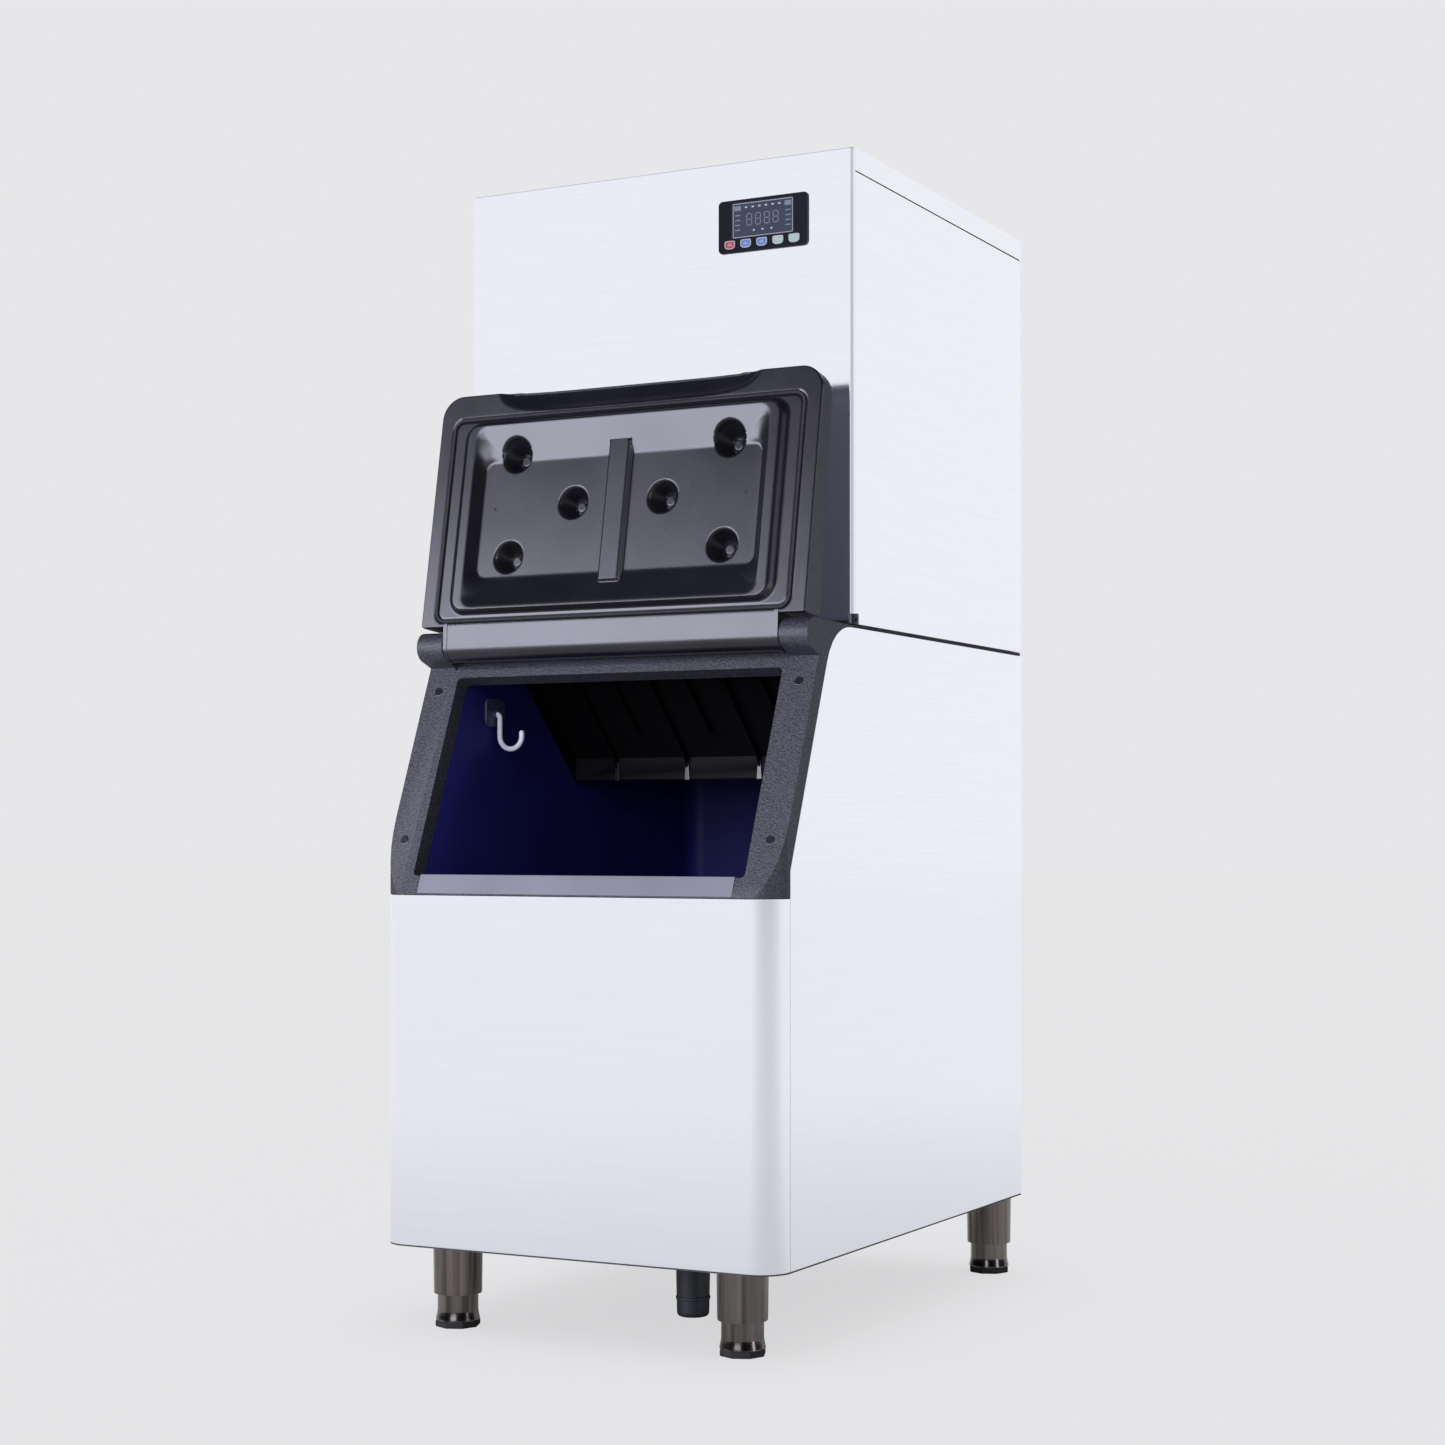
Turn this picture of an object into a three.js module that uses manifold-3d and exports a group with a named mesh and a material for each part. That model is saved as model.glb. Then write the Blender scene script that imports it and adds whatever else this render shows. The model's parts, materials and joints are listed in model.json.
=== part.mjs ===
// Modular ice maker: an ice-making head standing on an insulated storage bin with a lift-up lid.
// Millimetres, +Z up, the front faces -Y, and the origin is on the floor under the middle of the machine.
import * as THREE from "three";
import { mergeVertices } from "three/addons/utils/BufferGeometryUtils.js";
import Module from "manifold-3d";

const wasm = await Module();
wasm.setup();

// Overall sizes
const cabinetWidth = 560;
const binDepth = 795;
const binHeight = 772;
const headShoulderGap = 6.275;
const headHeight = 593;
const seamHeight = 4;
const legHeight = 108;
const frontCornerRadius = 39;
const sheetThickness = 1.2;
const fitGap = 0.3;
const wallThickness = 42;
const doorSillHeight = 440;
const frontSlopeDegrees = 22;
const lidLeanDegrees = 10.2;
const cutOverrun = 5;
const lipWidth = 14;
const backRib = { reach: 14, depth: 3.6, endGap: 56 };

// How many flats stand for a whole circle, and how many steps for a quarter or a bend
const [pipeSides, postSides, boreSides, threadSides] = [10, 12, 14, 16];
const [coneSides, motorSides, barrelSides, ringSides, dishSides] = [20, 24, 28, 36, 64];
const [binSteps, shoulderSteps, earSteps, channelSteps] = [8, 6, 12, 3];
const [lidSteps, plateSteps, sheetSteps, domeSteps] = [6, 3, 3, 5];

// Door frame, hinge and opening, with places down the slope measured from the hinge axis
const frame = {
  depth: 26,
  shoulderRadius: 75,
  deckStep: 2,
  deckThickness: 6,
  axisDrop: 15,
  axisStandoff: 22.5,
  earRadius: 19,
  earWidth: 38.3,
  earFootDrop: 18.4,
  headerTop: 22,
  headerStep: 2.5,
  openingTop: 33.2,
  sillBand: 25.6,
  jambWidth: 46,
  openingCorner: 6,
  openingReach: 78,
};
const pin = { radius: 5, length: 44, inLid: 20, clearance: 0.3 };

// Lid, in its own frame: the hinge axis is the origin and +Z runs up the open lid
const lid = {
  sideGap: 5,
  bottomEdge: 21.6,
  sillGap: 0.2,
  faceStandoff: 20.5,
  cornerRadius: 30,
  footRadius: 4,
  leastRadius: 1,
  flangeThickness: 6,
  backAtHinge: 22.6,
  backAtHandle: 10,
  backFootRise: 4.5,
  crownDrop: 34,
  crownInset: 14,
  crownShare: 1 / 3,
  coverWall: 3,
  barrelRadius: 20.5,
  barrelEndClearance: 1,
  collarWidth: 6,
  collarStep: 0.8,
};
const rim = {
  height: 10,
  sideInset: 41.5,
  bottomInset: 15.4,
  topInset: 40.6,
  wallRun: 8,
  mouthInset: 21.5,
  corner: 16,
};
const pan = {
  depth: 3,
  sideRun: 12,
  bottomShare: 0.25255,
  topShare: 0.71856,
  corner: 12,
};
const kissOff = {
  rimRadius: 21,
  footRadius: 7.5,
  depth: 24,
  outerShare: 0.77,
  innerShare: 0.3225,
  rowShares: [0.33523, 0.53667, 0.73661],
  bossRadius: 4.5,
  bossHeight: 3,
};
const spine = { width: 28, bottomShare: 0.21948, topShare: 0.76667, rise: 8 };
const seal = {
  inset: 22,
  bottomInset: 7.4,
  topInset: 33.6,
  width: 5,
  proud: 1.5,
  grooveDepth: 3,
  corner: 14,
};
const grip = {
  endInset: 81.5,
  height: 28,
  depth: 12,
  axisLift: 12.4,
  endPower: 6,
  endShare: 1.5,
  steps: 10,
};

// Bin liner, deflector and scoop hook
const liner = {
  wall: 3,
  frontWall: 33,
  roofWall: 6,
  corner: 28,
  cornerRise: 10,
  mouthDrop: 56,
  throatSetback: 21,
  rimThickness: 3,
  rimInset: 3,
};
const deflector = {
  topDrop: 6,
  slopeDegrees: 44.2,
  rearInset: 22,
  lipHeight: 29.5,
  gussetDrop: 20,
  thickness: 3,
  ribPitch: 110,
  longRibPlaces: [-1.5, -0.5, 0.5, 1.5],
  shortRibPlaces: [-1, 0, 1],
  ribThickness: 3,
  ribDrop: 12,
  shortRibEnd: 42,
  gussetReach: 12,
};
const hook = {
  plateLength: 46,
  plateHeight: 38,
  plateThickness: 4,
  plateCorner: 10,
  plateSetback: 94.19,
  plateDrop: 62,
  rodRadius: 3.5,
  rootDrop: 21,
  reach: 1,
  drop: 29,
  bendRadius: 5,
  turnRadius: 17,
  tipRise: 4,
  steps: 34,
};

// Legs and drain
const leg = {
  frontInsetX: 77,
  rearInsetX: 36,
  frontInsetY: 66,
  rearInsetY: 36,
  topRadius: 31.8,
  bottomRadius: 30.5,
  sleeveLength: 66,
  collarHeight: 5,
  boreRadius: 26.1,
  footRadius: 25.8,
  flareRadius: 28.8,
  flareHeight: 14,
  flareRim: 4.7,
  studRadius: 14,
  footInSleeve: 30,
  padHeight: 8,
  padRadius: 29,
  travelUp: 8,
  roundSides: 32,
  nutSides: 8,
};
const drain = {
  centreX: 64,
  depth: 200,
  topRadius: 22.5,
  bottomRadius: 20.6,
  length: 95,
  edgeRadius: 4,
  boreRadius: 13,
  neckRadius: 17,
};

// Ice-making head
const head = {
  bendRadius: 6,
  coverFlange: 28,
  coverSeam: 1,
  tuckHeight: 12,
  trayFlange: 25,
  dropSideInset: 85,
  dropSetback: 45,
  dropRearGap: 68,
  dropCorner: 12,
  lockLength: 16,
  lockHeight: 12.5,
  lockThickness: 6,
  lockScrewRadius: 3,
  lockScrewDepth: 2,
};
const louvre = {
  count: 10,
  pitch: 24,
  length: 250,
  height: 9,
  bottom: 70,
  sideInset: 35,
  out: 4,
  margin: 4,
  lap: 14,
};
const service = { insetX: 90, centreZ: 120, width: 110, height: 90, depth: 28 };
const inlet = {
  shiftX: 24,
  z: 130,
  bodySize: 30,
  bodyLength: 46,
  threadRadius: 13,
  threadLength: 18,
  bore: 8,
  coilRadius: 10,
  coilLength: 31,
};
const gland = { shiftX: 26, z: 105, nutRadius: 11, domeRadius: 8.5, length: 16, bore: 4.5 };

// Control panel
const bezel = {
  width: 126,
  height: 67,
  insetX: 124.5,
  drop: 82.5,
  proud: 2.2,
  corner: 6,
  lap: 1.5,
  depth: 9,
};
const display = { width: 87, height: 46, shiftX: 0.5, rise: 7, recess: 0.8, thickness: 6 };
const button = {
  count: 5,
  pitch: 22.6,
  shiftX: 1.3,
  drop: 23.5,
  width: 14,
  height: 9.5,
  clearance: 0.4,
  proud: 1,
  flange: 1.5,
  flangeThickness: 1.2,
  tipWidthShare: 0.55,
  tipDropShare: 0.8,
  sideDropShare: 0.1,
};
const board = { width: 116, height: 57, thickness: 1.6 };

// Inside the head
const partition = { depthShare: 0.48962, topDrop: 33, foldWidth: 14 };
const evaporator = {
  sideInset: 30,
  bottom: 175,
  topDrop: 98,
  reach: 54,
  gridDepth: 14,
  plateThickness: 3,
  columns: 8,
  rows: 8,
  finThickness: 3,
  border: 9,
  bracketWidth: 16,
};
const curtain = {
  sideLap: 6,
  gapToGrid: 8,
  thickness: 3,
  bottomDrop: 22,
  hingeRise: 14,
  pinRadius: 3,
  earThickness: 5,
  earReach: 9,
  earFoot: 32,
  ribHeight: 3,
  ribWidth: 6,
  ribCount: 4,
  ribTopGap: 12,
  kickReach: 6,
};
const spray = {
  radius: 9,
  bore: 6,
  rise: 15,
  reach: 38,
  endInset: 7,
  clipWidth: 12,
  clipInset: 24,
  clipTop: 7,
  clipLow: 12.6,
};
const trough = {
  sideLap: 10,
  bottom: 70,
  height: 62,
  reach: 66,
  wall: 3,
  draft: 10,
};
const pump = {
  insetX: 58,
  reach: 38,
  bodyRadius: 19,
  bodyHeight: 66,
  footHeight: 40,
  footRadius: 14,
  bracket: 6,
};
const compressor = {
  insetX: 150,
  depthShare: 0.47458,
  radius: 72,
  height: 178,
  domeHeight: 42,
  weldRise: 70,
  footSpanX: 126,
  footSpanY: 90,
  footHeight: 14,
  footRadius: 13,
  plateThickness: 4,
  saddleHeight: 12,
  pipeRadius: 5,
  pipeReach: 30,
};
const condenser = { width: 250, height: 250, depth: 38, rearGap: 14, fins: 20, finDepth: 8, finGap: 6 };
const fan = {
  radius: 98,
  hubRadius: 22,
  hubLength: 24,
  blades: 5,
  bladeThickness: 2.4,
  pitchDegrees: 32,
  sweepDegrees: 48,
  tipClearance: 5,
  shroudDepth: 34,
  shroudWall: 2,
  plateThickness: 6,
  motorRadius: 36,
  motorLength: 52,
  shaftRadius: 4,
  shaftLength: 24,
  armWidth: 10,
  armThickness: 3,
  armCount: 3,
  faceGap: 6,
  stations: 4,
  rootShare: 0.8,
  tipChordShare: 0.75,
  rootPitchShare: 1.25,
  tipPitchShare: 0.65,
};

// Values worked out from the sizes above
const halfWidth = cabinetWidth / 2;
const headFloor = binHeight + seamHeight;
const headTop = headFloor + headHeight;
const slopeAngle = THREE.MathUtils.degToRad(frontSlopeDegrees);
const slopeTan = Math.tan(slopeAngle);
const slopeCos = Math.cos(slopeAngle);
const slopeSin = Math.sin(slopeAngle);
const sheetGap = sheetThickness + fitGap;
const backInner = binDepth - sheetGap - backRib.depth;
const trayTop = headFloor + fitGap + 2 * sheetGap;

// Hinge axis, the slanted front below it down to the sill, and the front of the head behind it
const axisHeight = binHeight - frame.axisDrop;
const axisDepth = slopeDepth(axisHeight) - frame.axisStandoff / slopeCos;
const slopeLength = (axisHeight - frame.axisStandoff * slopeSin - doorSillHeight) / slopeCos;
const openingBottom = slopeLength - frame.sillBand;
const openingWidth = cabinetWidth - 2 * frame.jambWidth;
const shoulderHeight = binHeight - frame.shoulderRadius;
const shoulderDepth = slopeDepth(shoulderHeight) + frame.depth + frame.shoulderRadius / slopeCos;
const headFront = shoulderDepth + headShoulderGap;
const headDepth = binDepth - headFront;
const earInner = halfWidth - frame.earWidth;
const barrelHalf = earInner - lid.barrelEndClearance;

// Lid outlines
const lidWidth = cabinetWidth - 2 * lid.sideGap;
const lidTop = slopeLength - lid.sillGap;
const flangeFace = -lid.faceStandoff;
const rimWidth = lidWidth - 2 * rim.sideInset;
const rimLow = lid.bottomEdge + rim.bottomInset;
const rimHigh = lidTop - rim.topInset;
const mouthWidth = rimWidth - 2 * rim.mouthInset;
const panWidth = mouthWidth - 2 * pan.sideRun;
const panLow = lidTop * pan.bottomShare;
const panHigh = lidTop * pan.topShare;

// Liner, chute and hook
const mouthTop = binHeight - liner.mouthDrop;
const throatRear = headFront + liner.throatSetback;
const squareFrom = doorSillHeight + liner.cornerRise;
const partitionDepth = headFront + headDepth * partition.depthShare;
const dropWidth = cabinetWidth - 2 * head.dropSideInset;
const dropFront = headFront + head.dropSetback;
const dropRear = partitionDepth - head.dropRearGap;
const chuteTop = binHeight - deflector.topDrop;
const chuteRear = dropRear - deflector.rearInset;
const hookDepth = axisDepth + hook.plateSetback;
const hookTop = axisHeight - hook.plateDrop;
const hookRoot = hookTop - hook.rootDrop;

// Control panel and back of the head
const bezelX = halfWidth - bezel.insetX;
const bezelZ = headTop - bezel.drop;
const displayX = bezelX - display.shiftX;
const displayZ = bezelZ + display.rise;
const buttonX = bezelX - button.shiftX;
const buttonZ = bezelZ - button.drop;
const fanX = halfWidth - louvre.sideInset - louvre.length / 2;
const serviceX = service.insetX - halfWidth;
const inletX = serviceX - inlet.shiftX;
const glandX = serviceX + gland.shiftX;

// Inside the head
const evaporatorWidth = dropWidth - 2 * evaporator.sideInset;
const evaporatorDepth = partitionDepth - evaporator.reach;
const curtainWidth = evaporatorWidth + 2 * curtain.sideLap;
const sprayDepth = partitionDepth - spray.reach;
const troughWidth = evaporatorWidth + 2 * trough.sideLap;
const troughFront = partitionDepth - trough.reach;
const pumpX = halfWidth - pump.insetX;
const pumpDepth = partitionDepth - pump.reach;
const compressorX = compressor.insetX - halfWidth;
const compressorDepth = partitionDepth + (binDepth - partitionDepth) * compressor.depthShare;

// Depth of the slanted front plane of the door frame at a height above the underside of the bin
function slopeDepth(height) {
  return (height - doorSillHeight) * slopeTan;
}

// Solids and shapes
const weldDistance = 1e-4;
const simplifyTolerance = 0.01;
const stepsPerMillimetre = 512;

// A solid from points and triangles. The points are moved to a fine grid, so that faces meant to be in
// one plane are exactly in one plane.
function toSolid(points, index) {
  const toGrid = (value) => Math.round(value * stepsPerMillimetre) / stepsPerMillimetre;
  const positions = Float32Array.from(points, toGrid);
  const kept = [];
  for (let i = 0; i < index.length; i += 3) {
    const [a, b, c] = [index[i], index[i + 1], index[i + 2]];
    if (a !== b && b !== c && a !== c) kept.push(a, b, c);
  }
  const make = (triangles) =>
    new wasm.Manifold(
      new wasm.Mesh({ numProp: 3, vertProperties: positions, triVerts: new Uint32Array(triangles) }),
    );
  const solid = make(kept);
  return solid.volume() < 0 ? make(kept.reverse()) : solid;
}

function solidFrom(geometry) {
  const bare = geometry.clone();
  bare.deleteAttribute("normal");
  bare.deleteAttribute("uv");
  const merged = mergeVertices(bare, weldDistance);
  return toSolid(merged.attributes.position.array, Array.from(merged.index.array));
}

function join(...solids) {
  return solids.reduce((sum, solid) => sum.add(solid));
}

function cut(solid, ...tools) {
  return tools.reduce((rest, tool) => rest.subtract(tool), solid);
}

function placed(solid, matrix) {
  return solid.transform(matrix.elements);
}

function moved(solid, x, y, z) {
  return solid.translate([x, y, z]);
}

function box(x0, x1, y0, y1, z0, z1) {
  const geometry = new THREE.BoxGeometry(x1 - x0, y1 - y0, z1 - z0);
  geometry.translate((x0 + x1) / 2, (y0 + y1) / 2, (z0 + z1) / 2);
  return solidFrom(geometry);
}

function extruded(outline, length, holes = []) {
  const vectors = (points) => points.map(([a, b]) => new THREE.Vector2(a, b));
  const shape = new THREE.Shape(vectors(outline));
  for (const hole of holes) shape.holes.push(new THREE.Path(vectors(hole)));
  return new THREE.ExtrudeGeometry(shape, { depth: length, bevelEnabled: false });
}

// A prism along X whose outline is given as depth and height
function prismX(outline, x0, x1) {
  const axes = new THREE.Matrix4().makeBasis(
    new THREE.Vector3(0, 1, 0),
    new THREE.Vector3(0, 0, 1),
    new THREE.Vector3(1, 0, 0),
  );
  return solidFrom(extruded(outline, x1 - x0).applyMatrix4(axes).translate(x0, 0, 0));
}

// A prism along Y whose outline is given as width and height
function prismY(outline, y0, y1, holes = []) {
  const axes = new THREE.Matrix4().makeBasis(
    new THREE.Vector3(1, 0, 0),
    new THREE.Vector3(0, 0, 1),
    new THREE.Vector3(0, -1, 0),
  );
  return solidFrom(extruded(outline, y1 - y0, holes).applyMatrix4(axes).translate(0, y1, 0));
}

// A prism along Z whose outline is given as width and depth
function prismZ(outline, z0, z1, holes = []) {
  return solidFrom(extruded(outline, z1 - z0, holes).translate(0, 0, z0));
}

function arc(cx, cy, radius, fromDegrees, toDegrees, steps) {
  return Array.from({ length: steps + 1 }, (_, i) => {
    const angle = THREE.MathUtils.degToRad(fromDegrees + ((toDegrees - fromDegrees) * i) / steps);
    return [cx + radius * Math.cos(angle), cy + radius * Math.sin(angle)];
  });
}

// A rectangle with a radius at its low and its high corners
function roundedRect(x0, x1, y0, y1, lowRadius, highRadius = lowRadius, steps = 4) {
  const corner = (cx, cy, radius, start) =>
    radius > 0 ? arc(cx, cy, radius, start, start + 90, steps) : [[cx, cy]];
  return [
    ...corner(x1 - lowRadius, y0 + lowRadius, lowRadius, -90),
    ...corner(x1 - highRadius, y1 - highRadius, highRadius, 0),
    ...corner(x0 + highRadius, y1 - highRadius, highRadius, 90),
    ...corner(x0 + lowRadius, y0 + lowRadius, lowRadius, 180),
  ];
}

// A turned piece about Z from pairs of radius and height
function turned(profile, sides, phase = 0) {
  const points = profile.map(([radius, height]) => new THREE.Vector2(radius, height));
  const geometry = new THREE.LatheGeometry(points, sides, phase);
  return solidFrom(geometry.rotateX(Math.PI / 2));
}

function rod(radius, z0, z1, sides) {
  return turned([[0, z0], [radius, z0], [radius, z1], [0, z1]], sides);
}

// A rod along X
function rodX(radius, x0, x1, y, z, sides) {
  return moved(rod(radius, x0, x1, sides).rotate([0, 90, 0]), 0, y, z);
}

// A rod along Y
function rodY(radius, y0, y1, x, z, sides) {
  return moved(rod(radius, -y1, -y0, sides).rotate([90, 0, 0]), x, 0, z);
}

// A closed solid through rings of equal count, with flat ends
function loft(rings) {
  const count = rings[0].length;
  const positions = rings.flat(2);
  const index = [];
  for (let r = 0; r + 1 < rings.length; r++) {
    for (let i = 0; i < count; i++) {
      const a = r * count + i;
      const b = r * count + ((i + 1) % count);
      index.push(a, b, b + count, a, b + count, a + count);
    }
  }
  const last = (rings.length - 1) * count;
  for (let i = 1; i + 1 < count; i++) {
    index.push(0, i + 1, i, last, last + i, last + i + 1);
  }
  return toSolid(positions, index);
}

// A rounded rectangle as a ring at a depth
function faceRing(x0, x1, z0, z1, corner, y) {
  return roundedRect(x0, x1, z0, z1, corner).map(([x, z]) => [x, y, z]);
}

// A tube of given radius along a three.js curve
function tube(curve, radius, sides, steps) {
  const section = arc(0, 0, radius, 0, 360, sides).slice(0, -1);
  const shape = new THREE.Shape(section.map(([a, b]) => new THREE.Vector2(a, b)));
  return solidFrom(new THREE.ExtrudeGeometry(shape, { steps, extrudePath: curve, bevelEnabled: false }));
}

// Materials
function finish(hex, roughness, metalness) {
  return new THREE.MeshStandardMaterial({ color: new THREE.Color(hex), roughness, metalness });
}
const steel = () => finish("#d9dbe2", 0.32, 1);
const darkSteel = () => finish("#7d7773", 0.3, 1);
const galvanised = () => finish("#b4b8ba", 0.5, 1);
const blackAbs = () => finish("#2b2b33", 0.45, 0);
const blackFrame = () => finish("#3a3a42", 0.6, 0);
const rubber = () => finish("#151515", 0.85, 0);
const blueLiner = () => finish("#14146a", 0.5, 0);
const foam = () => finish("#e7d9a8", 0.9, 0);

// The machine, with the front of the bin at the front and the bin's underside at zero inside this group
const machine = new THREE.Group();
const cabinet = new THREE.Group();
cabinet.position.set(0, -binDepth / 2, legHeight);
machine.add(cabinet);

function piece(name, solid, material, parent = cabinet) {
  const data = solid.simplify(simplifyTolerance).getMesh();
  const geometry = new THREE.BufferGeometry();
  geometry.setAttribute("position", new THREE.BufferAttribute(new Float32Array(data.vertProperties), 3));
  geometry.setIndex(new THREE.BufferAttribute(new Uint32Array(data.triVerts), 1));
  geometry.computeVertexNormals();
  const mesh = new THREE.Mesh(geometry, material);
  mesh.name = name;
  parent.add(mesh);
  return mesh;
}

// Outlines that several pieces share

// Plan of the bin with its two rounded front corners, drawn in by an inset
function binPlan(inset, rear = binDepth - inset) {
  const radius = frontCornerRadius - inset;
  const reach = halfWidth - inset;
  return [
    ...arc(-halfWidth + frontCornerRadius, frontCornerRadius, radius, 180, 270, binSteps),
    ...arc(halfWidth - frontCornerRadius, frontCornerRadius, radius, 270, 360, binSteps),
    [reach, rear],
    [-reach, rear],
  ];
}

// Front edge of the steel side panel from the sill up to the top, moved forward by an offset
function shoulderEdge(offset) {
  const knee = doorSillHeight + (frontCornerRadius - offset - frame.depth + offset / slopeCos) / slopeTan;
  const radius = frame.shoulderRadius + offset;
  return [
    [frontCornerRadius - offset, knee],
    ...arc(shoulderDepth, shoulderHeight, radius, 180 - frontSlopeDegrees, 90, shoulderSteps),
  ];
}

function sideOutline(inset) {
  return [
    [frontCornerRadius + inset + fitGap, inset],
    [binDepth - inset, inset],
    [binDepth - inset, binHeight - inset],
    ...shoulderEdge(-inset).reverse(),
  ];
}

// The two ends of a span given by its distances from the middle, on one side of the machine
function sideSpan(side, from, to) {
  return [side * from, side * to].sort((m, n) => m - n);
}

// A side panel of the bin with its folded edges, grown all round
function sideTray(side, grow) {
  const outer = sideSpan(side, halfWidth - lipWidth - grow, halfWidth + grow);
  const inner = sideSpan(side, halfWidth - lipWidth - grow - cutOverrun, halfWidth - sheetThickness - grow);
  return cut(prismX(sideOutline(-grow), ...outer), prismX(sideOutline(sheetThickness + grow), ...inner));
}

// A frame whose Z runs up the slanted front, Y runs inwards, and whose origin is the foot of the hinge axis
const slopeFrame = new THREE.Matrix4()
  .makeTranslation(
    0, axisDepth + frame.axisStandoff * slopeCos, axisHeight - frame.axisStandoff * slopeSin,
  )
  .multiply(new THREE.Matrix4().makeRotationX(-slopeAngle));

// The prism of the door opening through the slanted front
function openingPrism(grow, y0, y1) {
  const half = openingWidth / 2 + grow;
  const outline = roundedRect(
    -half, half, -openingBottom - grow, -frame.openingTop + grow, frame.openingCorner,
  );
  return placed(prismY(outline, y0, y1), slopeFrame);
}

// Storage bin casing
function makeBinCasing() {
  const seamDepth = frontCornerRadius;
  const outer = prismZ(binPlan(0, seamDepth), 0, doorSillHeight - fitGap);
  const inner = prismZ(binPlan(sheetThickness, seamDepth + cutOverrun), -cutOverrun, doorSillHeight);
  const lip = cut(
    prismZ(binPlan(sheetThickness / 2, seamDepth), 0, sheetThickness),
    prismZ(binPlan(lipWidth, seamDepth + cutOverrun), -cutOverrun, sheetThickness + cutOverrun),
  );
  piece("bin_front_panel", join(cut(outer, inner), lip), steel());

  piece("bin_side_panel_left", sideTray(-1, 0), steel());
  piece("bin_side_panel_right", sideTray(1, 0), steel());

  const back = halfWidth - sheetGap;
  const backFace = binDepth - sheetGap;
  const [ribLow, ribHigh] = [backRib.endGap, binHeight - backRib.endGap];
  const rib = (x) => box(x - backRib.reach, x + backRib.reach, backInner, backFace, ribLow, ribHigh);
  const sheet = box(-back, back, backFace - sheetThickness, backFace, sheetGap, binHeight - sheetGap);
  piece("bin_back_panel", join(sheet, rib(-halfWidth / 2), rib(halfWidth / 2)), galvanised());
}
makeBinCasing();

function drainHole(top) {
  return moved(rod(drain.neckRadius + fitGap, 0, top, barrelSides), drain.centreX, drain.depth, 0);
}

function makeBinBase() {
  const rear = backInner - fitGap;
  const hollow = prismZ(
    binPlan(sheetGap + sheetThickness, rear - sheetThickness), sheetGap + sheetThickness,
    sheetGap + lipWidth + cutOverrun,
  );
  const hole = drainHole(lipWidth);
  const block = prismZ(binPlan(sheetGap, rear), sheetGap, sheetGap + lipWidth);
  piece("bin_base_pan", cut(block, hollow, hole, sideTray(-1, fitGap), sideTray(1, fitGap)), galvanised());
}
makeBinBase();

const foamInset = 2 * sheetGap;

// Profile of the liner's outside, with its mouth behind the door frame
function linerProfile(grow) {
  const mouthFoot = doorSillHeight + (liner.frontWall - grow - frame.depth - fitGap) / slopeTan;
  return [
    [liner.frontWall - grow, wallThickness - grow],
    [binDepth - wallThickness + grow, wallThickness - grow],
    [binDepth - wallThickness + grow, binHeight],
    [throatRear - grow, binHeight],
    [throatRear - grow, binHeight - frame.deckThickness + grow],
    [slopeDepth(mouthTop) + frame.depth + fitGap, mouthTop + grow],
    [liner.frontWall - grow, mouthFoot],
  ];
}

// Plan of the liner as a tall block: its front corners are round up to the mouth and square beside it
function linerPlan(grow) {
  const half = halfWidth - wallThickness + grow;
  const [front, rear] = [liner.frontWall - grow, binDepth - wallThickness + grow];
  const corner = liner.corner + grow;
  return join(
    prismZ(roundedRect(-half, half, front, rear, corner), 0, squareFrom),
    prismZ(roundedRect(-half, half, front, rear, 0, corner), squareFrom, headTop),
  );
}

function linerBlock(grow) {
  const half = halfWidth - wallThickness + grow;
  const block = prismX(linerProfile(grow), -half, half);
  return block.intersect(linerPlan(grow)).trimByPlane([0, 0, -1], -binHeight);
}

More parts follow.
